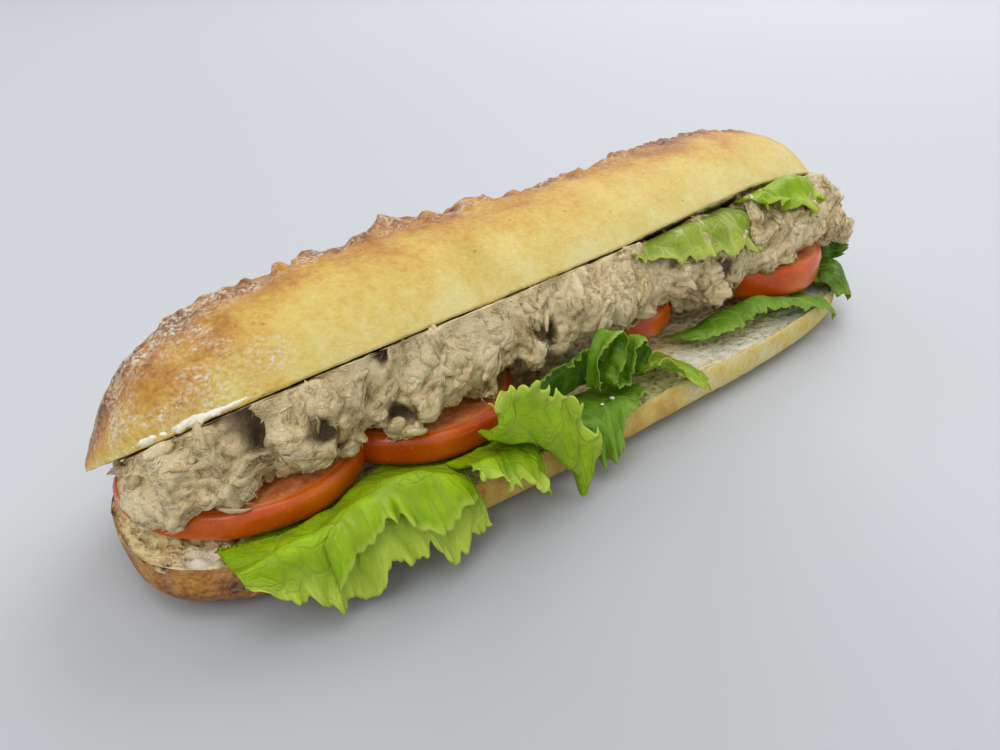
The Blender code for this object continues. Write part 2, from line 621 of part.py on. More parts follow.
def fish(finish, home, spare):
    """The fish filling out to its uneven front: a core with its larger chunks fused on."""
    draw = random.Random(11)
    first, last = FISH_ENDS
    stations = [first + (last - first) * k / FISH_STATIONS for k in range(FISH_STATIONS + 1)]
    core = loft("fish", [fish_ring(x) for x in stations], 0.5, finish, home)
    for k in range(LUMPS):
        x = first + 5 + (last - first - 8) * (k + draw.uniform(-0.4, 0.4)) / LUMPS
        foot_y, foot_z, belly_y, below = along(FISH_FRONT, x)
        height = (k * 0.618) % 1.0
        top = from_upper(x, UPPER_FRONT - 6, -5 - below)
        z = foot_z + 1 + (top[2] - foot_z) * height
        y = belly_y + 3.5 + 3.0 * abs(height - 0.45) + draw.uniform(-1.0, 1.5)
        fish_lump((x, y, z), draw.uniform(*LUMP_SIZES), finish, spare, float(k))
    for number, (x, y, z, size) in enumerate(FISH_CHUNKS):
        fish_lump((x, y, z), size, finish, spare, 200.0 + number)
    joined(core, spare)
    grid = core.modifiers.new("even", "REMESH")
    grid.mode = "VOXEL"
    grid.voxel_size = FISH_GRAIN * MM
    applied(core)
    fewer = core.modifiers.new("fewer", "DECIMATE")
    fewer.ratio = FISH_TRIANGLES / max(1, 2 * len(core.data.polygons))
    applied(core)
    for vert in core.data.vertices:
        p = vert.co / MM
        u, w = to_upper(p.x, p.y, p.z)
        if -2 < u < UPPER_FRONT and w > -FISH_ROOM:
            p = Vector(from_upper(p.x, u, -FISH_ROOM))
        vert.co = p * MM
    return core


def build():
    clear_scene()
    home = collection("filled_roll")
    spare = collection("pieces_to_fuse")
    crust = material("crust", (0.72, 0.47, 0.20), 0.75)
    flesh = material("tomato", (0.55, 0.10, 0.03), 0.3)
    green = material("lettuce", (0.25, 0.42, 0.06), 0.45)
    flakes = material("fish", (0.55, 0.43, 0.32), 0.8)
    loaf = bread(crust, home, spare)
    slices = [slice_solid(name, spec, flesh, home) for name, spec in SLICES.items()]
    cut_by(slices[1], slices[0], CUT_GROWTH, spare)
    leaves = [leaf(name, spec, green, home) for name, spec in LEAVES.items()]
    for k, sheet in enumerate(leaves):
        for neighbour in [loaf] + slices + leaves[:k]:
            cut_by(sheet, neighbour, CUT_GROWTH, spare)
    filling = fish(flakes, home, spare)
    for neighbour in slices + leaves:
        cut_by(filling, neighbour, FISH_GROWTH, spare)
    bpy.data.collections.remove(spare)


build()
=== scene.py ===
"""A filled long roll: the looks of its crust, crumb, fish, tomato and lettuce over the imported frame."""
import math

import bmesh
import bpy
import numpy as np
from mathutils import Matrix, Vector, noise
from mathutils.kdtree import KDTree


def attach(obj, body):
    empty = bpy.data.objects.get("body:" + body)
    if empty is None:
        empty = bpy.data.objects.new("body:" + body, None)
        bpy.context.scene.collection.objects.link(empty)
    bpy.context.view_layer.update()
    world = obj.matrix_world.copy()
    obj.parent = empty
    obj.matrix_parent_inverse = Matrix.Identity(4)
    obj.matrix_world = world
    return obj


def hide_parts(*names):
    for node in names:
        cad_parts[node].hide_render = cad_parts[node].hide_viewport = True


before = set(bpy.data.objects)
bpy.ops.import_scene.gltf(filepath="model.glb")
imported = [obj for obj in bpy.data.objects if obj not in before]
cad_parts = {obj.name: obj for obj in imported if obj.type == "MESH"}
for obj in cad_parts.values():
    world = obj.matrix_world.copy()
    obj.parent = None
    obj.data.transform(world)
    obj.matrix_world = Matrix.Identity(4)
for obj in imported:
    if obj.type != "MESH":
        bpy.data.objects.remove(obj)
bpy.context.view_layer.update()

MM = 0.001
WELD = 0.00001
TURN = 2 * math.pi

# The loaf as the frame has it, in millimetres: what the leaves and the crust's masks go by
LOAF_HALF = 135.0
LOAF_SIDE = 38.5
LOAF_SQUARE = 3.2
LOWER_LIP = 14.3
LOWER_FACE = 12.7
HINGE_Y = 36.0
HINGE_Z = 10.0
FACE_MIDDLE = 33.5
FACE_REACH = 37.5
FACE_FRONT = 71.0
OPENING = ((-135, 32.5), (-100, 34.5), (-50, 36.5), (0, 38.5), (40, 41.5), (70, 43.5), (135, 44.5))
THICKNESS = ((-135, 9), (-130, 15), (-124, 19), (-114, 24), (-100, 28), (-80, 30), (-50, 30.8),
             (20, 32), (70, 34), (105, 32.2), (120, 29), (129, 22.5), (135, 12))
HOLLOW = ((0, 0), (3, 0), (9, 9.5), (25, 10), (38, 3), (55, 0), (80, 0))
UPPER_ROUND = 2.15
LOWER_BELLY = 9.0
TIP_LONG = 16.0
# The torn ridge: where it runs across the crown, how high and wide it is
RIDGE_SIDE = 0.38
RIDGE_HEIGHT = 2.8
RIDGE_WIDE = 0.36
# The lip: how far it sways, and the nick in it
LIP_SWAY = 1.6
NICK_X = -43.0
NICK_DEEP = 4.0
NICK_WIDE = 4.5

# Tomato slices: centre x, y, underside z, radius, thickness, how round the back is left
SLICES = {
    "tomato_1": (-102.5, 5.5, 15.7, 30.5, 7.6, 0.62),
    "tomato_2": (-56.5, 1.0, 16.4, 29.5, 8.8, 0.85),
    "tomato_3": (23.0, 7.0, 18.2, 25.0, 9.0, 0.85),
    "tomato_4": (91.0, 2.0, 19.4, 31.5, 11.0, 0.76),
}
SLICE_EDGE = 2.6
SLICE_WOBBLE = 0.018
SLICE_RINGS = 9
LEAF_THICK = 0.6
FRILL_DEEP = 6.5
LEAF_CLEAR = 1.3
# How long a curl of a leaf's edge is, and a fine one
CURL = 7.0
FINE_CURL = 3.2

# Leaves: how many waves each has, how high they ruffle, its seed, how many columns and rows its grid
# has, its tone and how far its edge frills. Then its ribs, one after another along the loaf: each
# runs from the tucked root to the free edge, with x, y and z of every point in turn.
LEAVES = {
    "lettuce_front": (3.4, 1.5, 1.3, 240, 70, "bright", 1.1, (
        (-121, -20, 14.6, -121, -29, 16.5, -121, -33, 17, -120, -37, 14.5),
        (-112, -20, 14.6, -112, -30, 17.5, -111, -36, 19.5, -109, -41, 5.5),
        (-103, -20, 14.6, -103, -31, 19, -102, -38, 21, -101, -43, 0.5),
        (-95, -20, 14.6, -95, -31, 20, -94, -39, 24, -92, -45, 3.5),
        (-87, -18, 14.6, -87, -31, 23, -86, -39, 26.5, -84, -47, 8),
        (-78, -16, 14.8, -78, -31, 21, -77, -40, 24, -76, -47, 2.5),
        (-66, -16, 14.8, -66, -32, 18, -65, -40, 17.5, -64, -46, 5.5),
    )),
    "lettuce_frill_low": (2.3, 1.6, 4.1, 130, 56, "bright", 1.5, (
        (-66, -22, 15.4, -66, -33, 19, -66, -40, 23.5, -69, -44, 23),
        (-60, -22, 15.4, -60, -34, 19.5, -61, -41, 23, -64, -46, 18),
        (-54, -22, 15.4, -54, -34, 19.5, -55, -41, 21, -57, -47, 13),
        (-48, -22, 15.4, -48, -34, 19, -49, -41, 18, -51, -46, 9.5),
        (-43, -22, 15.4, -43, -34, 18, -44, -41, 14.5, -46, -45, 7),
    )),
    "lettuce_frill_high": (3.6, 1.7, 8.7, 190, 60, "bright", 1.6, (
        (-58, -32, 25, -60, -40, 28, -59, -41, 33, -57, -38, 37),
        (-53, -31.5, 24, -55, -41, 26, -55, -42, 34, -54, -39.5, 42),
        (-46, -31, 23.5, -48, -42, 23, -48, -43, 31.5, -47, -40, 41),
        (-40, -31.5, 22.5, -43, -43, 19, -42, -44, 27, -41.5, -40, 36.5),
        (-35, -32.5, 20.5, -39, -45, 14, -37.5, -45, 22, -36, -41, 32),
        (-31, -34, 18, -36, -46, 9, -34, -46, 15, -30.5, -43, 24),
        (-30, -36, 13, -35, -46.5, 3.5, -32, -47, 8, -28.5, -45.5, 17),
    )),
    "lettuce_dark_low": (2.3, 1.5, 2.9, 110, 50, "deep", 1.3, (
        (-27, -24, 15.5, -27, -33, 18, -26, -38, 15.5, -25, -41, 4.5),
        (-23, -24, 15.5, -23, -34, 18.5, -21, -41, 16, -20, -44, 2.5),
        (-17, -24, 15.5, -17, -34, 19, -16, -40, 20, -15, -43, 12),
        (-9, -24, 15.5, -9, -33, 17.5, -9, -38, 18.5, -9, -42, 17),
        (-1, -24, 15.5, -1, -32, 17, -1, -36, 18, -2, -39, 16.5),
    )),
    "lettuce_dark_high": (3.0, 1.5, 6.2, 120, 36, "dark", 1.3, (
        (-38, -24, 19, -39, -26, 24, -40, -28, 29, -41, -29, 32),
        (-30, -25, 19, -31, -28, 25, -32, -30, 31, -32, -31, 35),
        (-22, -25, 19, -23, -28, 26, -23, -30, 32, -23, -31, 36),
        (-14, -23, 18, -15, -26, 25, -15, -28, 30, -15, -29, 33),
        (-6, -22, 18, -6, -24, 22, -6, -26, 25, -6, -27, 27),
    )),
    "lettuce_roll": (2.0, 0.4, 3.3, 190, 30, "deep", 0.5, (
        (-20, -32, 24, -20, -35, 25, -21, -38, 25),
        (-20, -32, 34, -20, -35, 35, -21, -38, 35),
        (-16, -31, 39, -16, -35, 40, -17, -39, 40),
        (-12, -31, 36, -12, -35, 37, -13, -39, 37),
        (-14, -31, 30, -14, -35, 31, -14, -39, 30),
        (-15, -31, 24, -15, -35, 25, -15, -38, 24),
        (-8, -30, 22, -8, -34, 22, -8, -38, 22),
        (-5, -29, 28, -5, -34, 28, -6, -38, 28),
        (-3, -29, 33, -3, -33, 34, -4, -37, 34),
        (1, -28, 28, 1, -33, 28, 0, -36, 28),
        (0, -28, 22, 0, -32, 21, 0, -35, 21),
    )),
    "lettuce_flat": (2.0, 1.0, 5.5, 100, 50, "mid", 0.7, (
        (2, -20, 15.2, 2, -28, 18, 1, -34, 23, -1, -38, 27),
        (9, -20, 15.2, 9, -28, 18, 9, -35, 21, 9, -40, 22.5),
        (16, -20, 15.2, 16, -29, 17, 17, -37, 17, 19, -42, 12),
        (22, -22, 15.2, 22, -29, 16, 23, -36, 15.5, 24, -42, 8.5),
    )),
    "lettuce_strip": (3.0, 1.4, 7.1, 180, 36, "deep", 0.9, (
        (31, -16, 15.5, 31, -20, 17, 32, -23, 18, 32, -26, 17),
        (42, -18, 16, 42, -23, 19, 43, -27, 20, 43, -31, 17),
        (53, -18, 16.5, 53, -23, 21, 54, -28, 21.5, 54, -32, 17.5),
        (64, -19, 16.5, 64, -24, 22, 65, -28, 24.5, 66, -32, 19),
        (76, -21, 15.5, 77, -26, 19, 78, -30, 20.5, 79, -34, 16.5),
        (88, -22, 15.5, 89, -28, 17.5, 91, -33, 18, 93, -37, 13),
        (96, -22, 15.5, 97, -29, 17, 99, -34, 15.5, 101, -37, 7),
    )),
    "lettuce_end_low": (2.3, 1.3, 9.4, 90, 50, "dark", 0.8, (
        (105, -12, 15.5, 106, -21, 17.5, 107, -29, 18.5, 108, -34, 13),
        (112, -10, 15.5, 113, -20, 18, 115, -28, 19, 117, -34, 9.5),
        (119, -8, 15.5, 121, -17, 18, 123, -25, 18, 126, -30, 6),
        (124, -3, 15.5, 128, -10, 17.5, 132, -17, 18, 137, -21, 7),
    )),
    "lettuce_end_high": (1.6, 1.2, 11.8, 60, 60, "dark", 0.8, (
        (124, -1, 19.5, 129, -10, 18.5, 135, -15, 17, 140, -18, 18),
        (126, 0, 22.5, 131, -8, 22, 137, -13, 21.5, 144, -17, 21.5),
        (127, 2, 26, 132, -5, 26.5, 139, -11, 27, 148, -15, 25.5),
    )),
    "lettuce_top_pale": (3.2, 1.5, 12.5, 180, 50, "pale", 1.1, (
        (9, -8, 45, 8, -14, 50, 7, -18.5, 51.5, 5, -22.5, 50),
        (20, -7, 45.5, 20, -14, 51, 18.5, -20, 52, 16.5, -25, 46),
        (33, -6, 46, 33, -14, 52, 33, -21, 52, 33, -26, 43),
        (46, -5, 47, 46, -14, 52.5, 46, -21, 50.5, 46.5, -26, 40.5),
        (58, -5, 47, 58, -13, 52, 59, -20.5, 49.5, 60, -25.5, 38.5),
        (68, -4, 46.5, 68, -12, 51, 68.5, -19, 49, 68.5, -23.5, 39.5),
    )),
    "lettuce_top_bright": (3.4, 1.9, 14.2, 170, 46, "bright", 1.7, (
        (66, -7, 49, 65.5, -13, 53.5, 66, -18, 55, 67, -22.5, 52.5),
        (74, -7, 49.5, 74, -13, 54.5, 74, -19, 56.5, 75, -24, 50),
        (83, -6, 50, 83, -12, 55.5, 84, -19, 57.5, 84, -24.5, 46),
        (92, -5, 50, 92, -12, 55.5, 93, -19.5, 57, 93, -25, 43),
        (100, -3, 49, 101, -10, 54, 102, -17, 54.5, 100, -22.5, 46),
        (107, 0, 47, 109, -7, 51, 110, -13, 52, 107, -18.5, 48),
    )),
}


def smooth_step(value):
    value = np.clip(value, 0.0, 1.0)
    return value * value * (3.0 - 2.0 * value)


def bump_at(value, middle, wide):
    """1 at the middle and down to 0 at a distance."""
    return smooth_step(1.0 - np.abs(value - middle) / wide)


def rough(points, size, seed):
    """Soft noise from about -1 to 1 at each point, with features of a size in mm."""
    shift = Vector((seed * 7.3, seed * 3.1, seed * 5.7))
    return np.array([noise.noise(Vector(p) / size + shift) for p in points])


def raw_noise(x, y, z):
    """Soft noise at places given by their x, y and z, each one number or an array of them."""
    return np.array([noise.noise(Vector(p)) for p in np.stack(np.broadcast_arrays(x, y, z), -1)])


def plan_share(x):
    return (1.0 - np.minimum(np.abs(x) / LOAF_HALF, 1.0) ** LOAF_SQUARE) ** (1.0 / LOAF_SQUARE)


def tilt(x):
    return np.radians(np.interp(x, [row[0] for row in OPENING], [row[1] for row in OPENING]))


def from_upper(x, u, w):
    """World place of a point u along the upper half's cut face and w out towards its crust."""
    angle = tilt(x)
    y = HINGE_Y - u * np.cos(angle) + w * np.sin(angle)
    return np.stack([x, y, HINGE_Z + u * np.sin(angle) + w * np.cos(angle)], -1)


def to_upper(points):
    angle = tilt(points[:, 0])
    back, up = points[:, 1] - HINGE_Y, points[:, 2] - HINGE_Z
    return up * np.sin(angle) - back * np.cos(angle), back * np.sin(angle) + up * np.cos(angle)


def read(items, name, width=3):
    """A vector, or a number at a width of 1, of each point or face of a mesh."""
    flat = np.empty(len(items) * width)
    items.foreach_get(name, flat)
    return flat.reshape(-1, width)


def points_of(piece):
    return read(piece.data.vertices, "co") / MM


def normals_of(piece):
    return read(piece.data.vertex_normals, "vector")


def noted(piece, name):
    return read(piece.data.attributes[name].data, "value", 1)[:, 0]


def put_points(piece, points):
    piece.data.vertices.foreach_set("co", (points * MM).ravel())
    piece.data.update()


def note(piece, name, values):
    """Keeps a number for each point of the mesh, which its material reads."""
    kept = piece.data.attributes.new(name, "FLOAT", "POINT")
    kept.data.foreach_set("value", np.asarray(values, np.float32))


def select_only(piece):
    bpy.ops.object.select_all(action="DESELECT")
    piece.select_set(True)
    bpy.context.view_layer.objects.active = piece


def shaped(piece, kind, **values):
    """Gives the piece a modifier and makes it part of the mesh."""
    select_only(piece)
    added = piece.modifiers.new(kind.lower(), kind)
    for name, value in values.items():
        setattr(added, name, value)
    bpy.ops.object.modifier_apply(modifier=added.name)


def linked(name, data):
    """An object in the scene for a mesh, a curve, a lamp or a camera."""
    made = bpy.data.objects.new(name, data)
    bpy.context.scene.collection.objects.link(made)
    return made


def copy_of(node, name):
    """A piece that begins as a CAD node's own shape, its loose triangles welded."""
    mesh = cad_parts[node].data.copy()
    mesh.name = name
    mesh.materials.clear()
    weld = bmesh.new()
    weld.from_mesh(mesh)
    bmesh.ops.remove_doubles(weld, verts=weld.verts, dist=WELD)
    weld.to_mesh(mesh)
    weld.free()
    return linked(name, mesh)


def new_piece(name, points, faces):
    """A mesh from points in mm and faces."""
    mesh = bpy.data.meshes.new(name)
    mesh.from_pydata((np.asarray(points) * MM).tolist(), [], faces)
    mesh.update()
    return linked(name, mesh)


def served(piece, finish, slot, *nodes):
    """The last step for every piece: its material, its ride, and the nodes that it stands for."""
    piece.data.materials.clear()
    piece.data.materials.append(finish)
    piece.data.shade_smooth()
    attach(piece, "root")
    if nodes:
        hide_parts(*nodes)
    return piece


def tint(red, green, blue):
    """A colour given as it looks on a screen, 0 to 255, as a shader takes it."""
    shares = (value / 255 for value in (red, green, blue))
    return tuple(v / 12.92 if v < 0.0392 else ((v + 0.055) / 1.055) ** 2.4 for v in shares) + (1.0,)


class Finish:
    """A node material, put together in short steps."""

    def __init__(self, name, roughness, specular=0.5):
        self.material = bpy.data.materials.new(name)
        self.material.use_nodes = True
        self.nodes = self.material.node_tree.nodes
        self.links = self.material.node_tree.links
        self.shader = self.nodes["Principled BSDF"]
        self.set(self.shader, {"Roughness": roughness, "Specular IOR Level": specular})
        self.place = self.node("TexCoord", "Object")

    def set(self, node, sockets):
        """Gives a node's sockets their values, or links them to the outputs of other nodes."""
        for socket, value in sockets.items():
            if isinstance(value, bpy.types.NodeSocket):
                self.links.new(value, node.inputs[socket])
            else:
                node.inputs[socket].default_value = value

    def node(self, kind, output, sockets=(), **settings):
        """One output of a new node."""
        node = self.nodes.new("ShaderNode" + kind)
        for name, value in settings.items():
            setattr(node, name, value)
        self.set(node, dict(sockets))
        return node.outputs[output]

    def attribute(self, name):
        return self.node("Attribute", "Fac", attribute_name=name)

    def moved(self, source, scale=(1, 1, 1), location=(0, 0, 0)):
        return self.node("Mapping", "Vector", {"Vector": source, "Scale": scale, "Location": location})

    def part(self, vector, number):
        return self.node("SeparateXYZ", number, {"Vector": vector})

    def noise(self, size_mm, detail=4.0, roughness=0.55, distortion=0.0):
        return self.node("TexNoise", "Fac", {
            "Vector": self.place, "Scale": 1000.0 / size_mm, "Detail": detail,
            "Roughness": roughness, "Distortion": distortion})

    def cells(self, size_mm, feature="F1", source=None):
        where = self.place if source is None else source
        sockets = {"Vector": where, "Scale": 1000.0 / size_mm}
        return self.node("TexVoronoi", "Distance", sockets, feature=feature)

    def sum(self, operation, first, second=0.0, third=0.0):
        return self.node("Math", 0, {0: first, 1: second, 2: third}, operation=operation)

    def plus(self, first, second):
        return self.sum("ADD", first, second)

    def times(self, first, second):
        return self.sum("MULTIPLY", first, second)

    def rescaled(self, value, low, high, to_low=0.0, to_high=1.0):
        """The value stretched so that low becomes one end and high the other, and held between them."""
        return self.node("MapRange", "Result", {
            "Value": value, "From Min": low, "From Max": high, "To Min": to_low, "To Max": to_high})

    def ramp(self, value, *stops):
        """Colours along a value, each stop given as its place and then red, green and blue."""
        node = self.nodes.new("ShaderNodeValToRGB")
        self.set(node, {"Fac": value})
        bands = node.color_ramp.elements
        while len(bands) < len(stops):
            bands.new(0.5)
        for band, (place, *colour) in zip(bands, stops):
            band.position = place
            band.color = tint(*colour)
        return node.outputs["Color"]

    def mix(self, share, first, second):
        return self.node("Mix", 2, {0: share, 6: first, 7: second}, data_type="RGBA")

    def bump(self, height, depth_mm):
        return self.node("Bump", "Normal", {"Distance": depth_mm * MM, "Height": height})

    def done(self, colour, normal=None, roughness=None):
        given = {"Base Color": colour, "Normal": normal, "Roughness": roughness}
        self.set(self.shader, {name: value for name, value in given.items() if value is not None})
        return self.material


# The loaf

# Where flour lies on the crust: place, how far it spreads and how thick it is
FLOURED = (
    (-118, 12, 50, 13, 1.0), (-111, 2, 55, 7, 0.7), (-129, -2, 43, 7, 0.8), (-121, 18, 44, 10, 0.9),
    (-99, -13, 53, 6, 0.6), (-107, -7, 54, 5, 0.55), (-114, -10, 50, 6, 0.55), (23, -38, 11, 7, 0.8),
    (-103, 10, 57, 9, 0.7), (60, -30, 3, 22, 0.5), (-100, -34, 2, 16, 0.6), (-92, 14, 60, 8, 0.6),
    (-30, 12, 64, 7, 0.5), (10, 12, 66, 7, 0.5),
)
# Knobs that stand out of the torn ridge: place, size and height
KNOBS = (
    (-83, 13, 60, 2.6, 2.6), (-78, 15, 60, 2.0, 1.2), (-40, 13, 64, 3.0, 1.2), (-6, 13, 65, 3.0, 1.2),
    (16, 12, 66, 3.5, 1.0), (76, 13, 71, 4.0, 1.2), (84, 13, 71, 3.0, 1.0), (-60, 12, 63, 2.5, 1.0),
)
# How brown the upper crust is, from the hinge over the ridge to the lip
BAKED = (
    (-1.0, 0.5), (-0.6, 0.6), (0.1, 0.66), (0.38, 0.72), (0.6, 0.62), (0.78, 0.46), (0.92, 0.3),
    (0.98, 0.18), (1.0, 0.06),
)
# Where the cut crumb is smeared with dressing: place and how far it spreads
SMEARED = (
    (33, -27, 8), (42, -32, 8), (52, -34, 8), (63, -35, 8), (74, -34, 8), (86, -32, 9), (99, -28, 9),
    (110, -24, 7), (-124, -18, 5), (-116, -24, 4),
)


def loaf_finish():
    f = Finish("crust_and_crumb", 0.62, 0.3)
    # This attribute holds how browned the crust is and, on the lower half, painted light on its shaded
    # wall.
    browning_and_painted_light, crumb = f.attribute("browning_and_painted_light"), f.attribute("crumb")
    patches = f.sum("MULTIPLY_ADD", f.noise(14, 5, 0.6), 0.9, -0.45)
    grain = f.sum("MULTIPLY_ADD", f.noise(1.8, 6, 0.75), 0.7, -0.35)
    tone = f.plus(f.plus(browning_and_painted_light, patches), grain)
    crust = f.ramp(
        tone, (0.0, 222, 206, 136), (0.2, 216, 192, 104), (0.42, 208, 170, 72),
        (0.62, 192, 138, 50), (0.82, 158, 98, 36), (1.0, 104, 62, 26))
    specks = f.rescaled(f.cells(7.0), 0.05, 0.08, 1.0, 0.0)
    crust = f.mix(f.times(specks, 0.45), crust, tint(126, 78, 30))
    dust = f.rescaled(f.noise(1.1, 6, 0.8), 0.45, 0.62)
    clumps = f.rescaled(f.noise(5.0, 4, 0.6), 0.36, 0.6)
    flour = f.times(f.times(f.attribute("flour"), clumps), dust)
    crust = f.mix(f.sum("MINIMUM", f.times(flour, 1.8), 0.88), crust, tint(238, 228, 204))
    holes = f.cells(2.6)
    small = f.cells(1.1)
    # Painted shade: the crumb is painted darker towards the middle of each pore, where the bump sinks, as
    # the shade that falls in the holes.
    inside = f.ramp(
        f.plus(f.times(holes, 0.9), f.times(f.noise(5, 5), 0.35)),
        (0.1, 168, 134, 74), (0.35, 218, 194, 130), (0.7, 240, 224, 168))
    smear = f.times(f.attribute("smear"), f.rescaled(f.noise(3.5, 4, 0.6), 0.28, 0.48))
    inside = f.mix(smear, inside, tint(240, 234, 212))
    colour = f.mix(crumb, crust, inside)
    blisters = f.rescaled(f.cells(1.3), 0.1, 0.7, 1.0, 0.0)
    skin = f.plus(f.times(f.noise(1.0, 6, 0.7), 0.7), f.times(flour, 0.2))
    skin = f.plus(skin, f.times(blisters, f.times(f.attribute("blister"), 0.6)))
    pores = f.plus(f.rescaled(holes, 0.0, 0.55), f.times(f.rescaled(small, 0.0, 0.5), 0.5))
    pores = f.times(pores, f.rescaled(smear, 0.0, 1.0, 1.0, 0.1))
    skin = f.times(skin, f.rescaled(crumb, 0.0, 1.0, 1.0, 0.0))
    height = f.plus(skin, f.times(pores, crumb))
    dry = f.plus(f.sum("SUBTRACT", crumb, f.times(smear, 0.8)), flour)
    rough_part = f.rescaled(dry, 0.0, 1.0, 0.5, 0.95)
    return f.done(colour, f.bump(height, 0.7), rough_part)


def loaf_places(count, tip_count):
    """Places along the loaf: even in the middle, ever closer where the tips turn in."""
    start = LOAF_HALF - TIP_LONG
    tip = LOAF_HALF - TIP_LONG * (1 - np.arange(1, tip_count + 1) / tip_count) ** 2
    return np.concatenate([-tip[::-1], np.linspace(-start, start, count), tip])


def spread_out(share_of_ring, along):
    """A ring's numbers repeated for each place along the loaf."""
    return np.broadcast_to(share_of_ring, (len(along), len(share_of_ring)))


def upper_rings(places, dome, face):
    """The upper half's skin: crust from back to front, then the hollowed cut face."""
    share = plan_share(places)[:, None]
    reach = FACE_REACH * share
    x = np.repeat(places[:, None], dome + face, 1)
    angle = np.linspace(0, math.pi, dome)
    side = -np.cos(angle)
    thick = (np.interp(places, *zip(*THICKNESS))[:, None]) * np.minimum(1.0, share * 1.5)
    u = FACE_MIDDLE + reach * np.sign(side) * np.abs(side) ** (2 / UPPER_ROUND)
    w = thick * np.abs(np.sin(angle)) ** (2 / UPPER_ROUND)
    crown = np.maximum(0, 1 - np.abs(u - FACE_MIDDLE - RIDGE_SIDE * reach) / (RIDGE_WIDE * reach + 1e-6))
    spots = np.stack([x[:, :dome], u, np.full_like(u, 3.0)], -1).reshape(-1, 3)
    torn = 0.2 + 1.1 * raw_noise(*(spots / 11.0).T) + 0.7 * raw_noise(*((spots + (0, 0, 6.0)) / 4.5).T)
    w = w + RIDGE_HEIGHT * smooth_step(crown) * torn.reshape(u.shape) * share
    w = w + 0.9 * raw_noise(*((spots + (0, 0, 17.0)) / 16.0).T).reshape(u.shape) * np.sin(angle)
    sway = LIP_SWAY * raw_noise(places / 17, 0, 0.3)[:, None]
    nick = NICK_DEEP * np.exp(-((places - NICK_X) / NICK_WIDE) ** 2)[:, None] + sway * share
    u = u - nick * smooth_step((u - FACE_MIDDLE) / np.maximum(reach, 0.01) * 4 - 3)
    inner = np.linspace(1, -1, face + 2)[1:-1]
    face_u = FACE_MIDDLE + reach * inner - nick * smooth_step(inner * 4 - 3)
    face_w = np.interp(face_u, *zip(*HOLLOW)) * smooth_step((share - 0.45) / 0.35)
    u, w = np.concatenate([u, face_u], 1), np.concatenate([w, face_w], 1)
    points = from_upper(x.ravel(), u.ravel(), w.ravel()).reshape(x.shape + (3,))
    points[..., 0] += np.sign(x) * 1.8 * smooth_step((0.42 - share) / 0.42)
    across = np.concatenate([spread_out(side, places), spread_out(inner, places)], 1)
    cut = np.concatenate([np.zeros((len(places), dome)), np.ones((len(places), face))], 1)
    return points, across, cut


def lower_rings(places, wall, belly, face):
    """The lower half's skin: front wall, belly, back wall, then the cut face."""
    share = plan_share(places)[:, None]
    half = LOAF_SIDE * share
    inset = np.minimum(0.9, half * 0.1)
    lip = LOWER_LIP - 1.2 * smooth_step((0.5 - share) / 0.4)
    down = np.linspace(0, 1, wall + 1)[:-1]
    front_y = -half + inset * (1 - down) ** 2
    front_z = lip + (LOWER_BELLY - lip) * down
    angle = np.linspace(0, math.pi, belly)
    across = -np.cos(angle)
    belly_y = half * np.sign(across) * np.abs(across) ** (2 / 3)
    belly_z = np.maximum(LOWER_BELLY - 9.8 * np.sin(angle) ** (2 / 3) * np.minimum(1.0, share * 1.25), 0.0)
    run = np.linspace(1, -1, face + 2)[1:-1]
    face_y = (half - inset - 0.1) * run
    sag = (LOWER_LIP - LOWER_FACE) * smooth_step((half - np.abs(face_y)) / 6.0)
    y = np.concatenate([front_y, belly_y, -front_y[:, ::-1], face_y], 1)
    z = np.concatenate([front_z, belly_z, front_z[:, ::-1], lip - sag + 0 * face_y], 1)
    points = np.stack([np.repeat(places[:, None], y.shape[1], 1), y, z], -1)
    cut = np.concatenate([np.zeros((len(places), 2 * wall + belly)), np.ones((len(places), face))], 1)
    return points, y / np.maximum(half, 0.01), cut


def begun(name, add, **values):
    """A piece begun at the origin with one of Blender's own shapes."""
    bpy.ops.object.select_all(action="DESELECT")
    add(location=(0, 0, 0), **values)
    piece = bpy.context.object
    piece.name = name
    return piece


def flat_grid(name, columns, rows):
    """A flat square of one by one metre, cut into columns and rows."""
    grid = bpy.ops.mesh.primitive_grid_add
    return begun(name, grid, x_subdivisions=columns, y_subdivisions=rows, size=1.0)


def skinned(name, rings):
    """A closed skin: a flat grid laid on rings of points, its seam and its tips welded."""
    points, across, cut = rings
    rows, columns = cut.shape
    skin = flat_grid(name, rows - 1, columns)
    flat = points_of(skin) * MM + 0.5
    row = np.rint(flat[:, 0] * (rows - 1)).astype(int)
    column = np.rint(flat[:, 1] * columns).astype(int) % columns
    put_points(skin, points[row, column])
    note(skin, "across", across[row, column])
    note(skin, "crumb", cut[row, column])
    select_only(skin)
    bpy.ops.object.mode_set(mode="EDIT")
    bpy.ops.mesh.select_all(action="SELECT")
    bpy.ops.mesh.remove_doubles(threshold=WELD)
    bpy.ops.mesh.normals_make_consistent(inside=False)
    bpy.ops.object.mode_set(mode="OBJECT")
    return skin


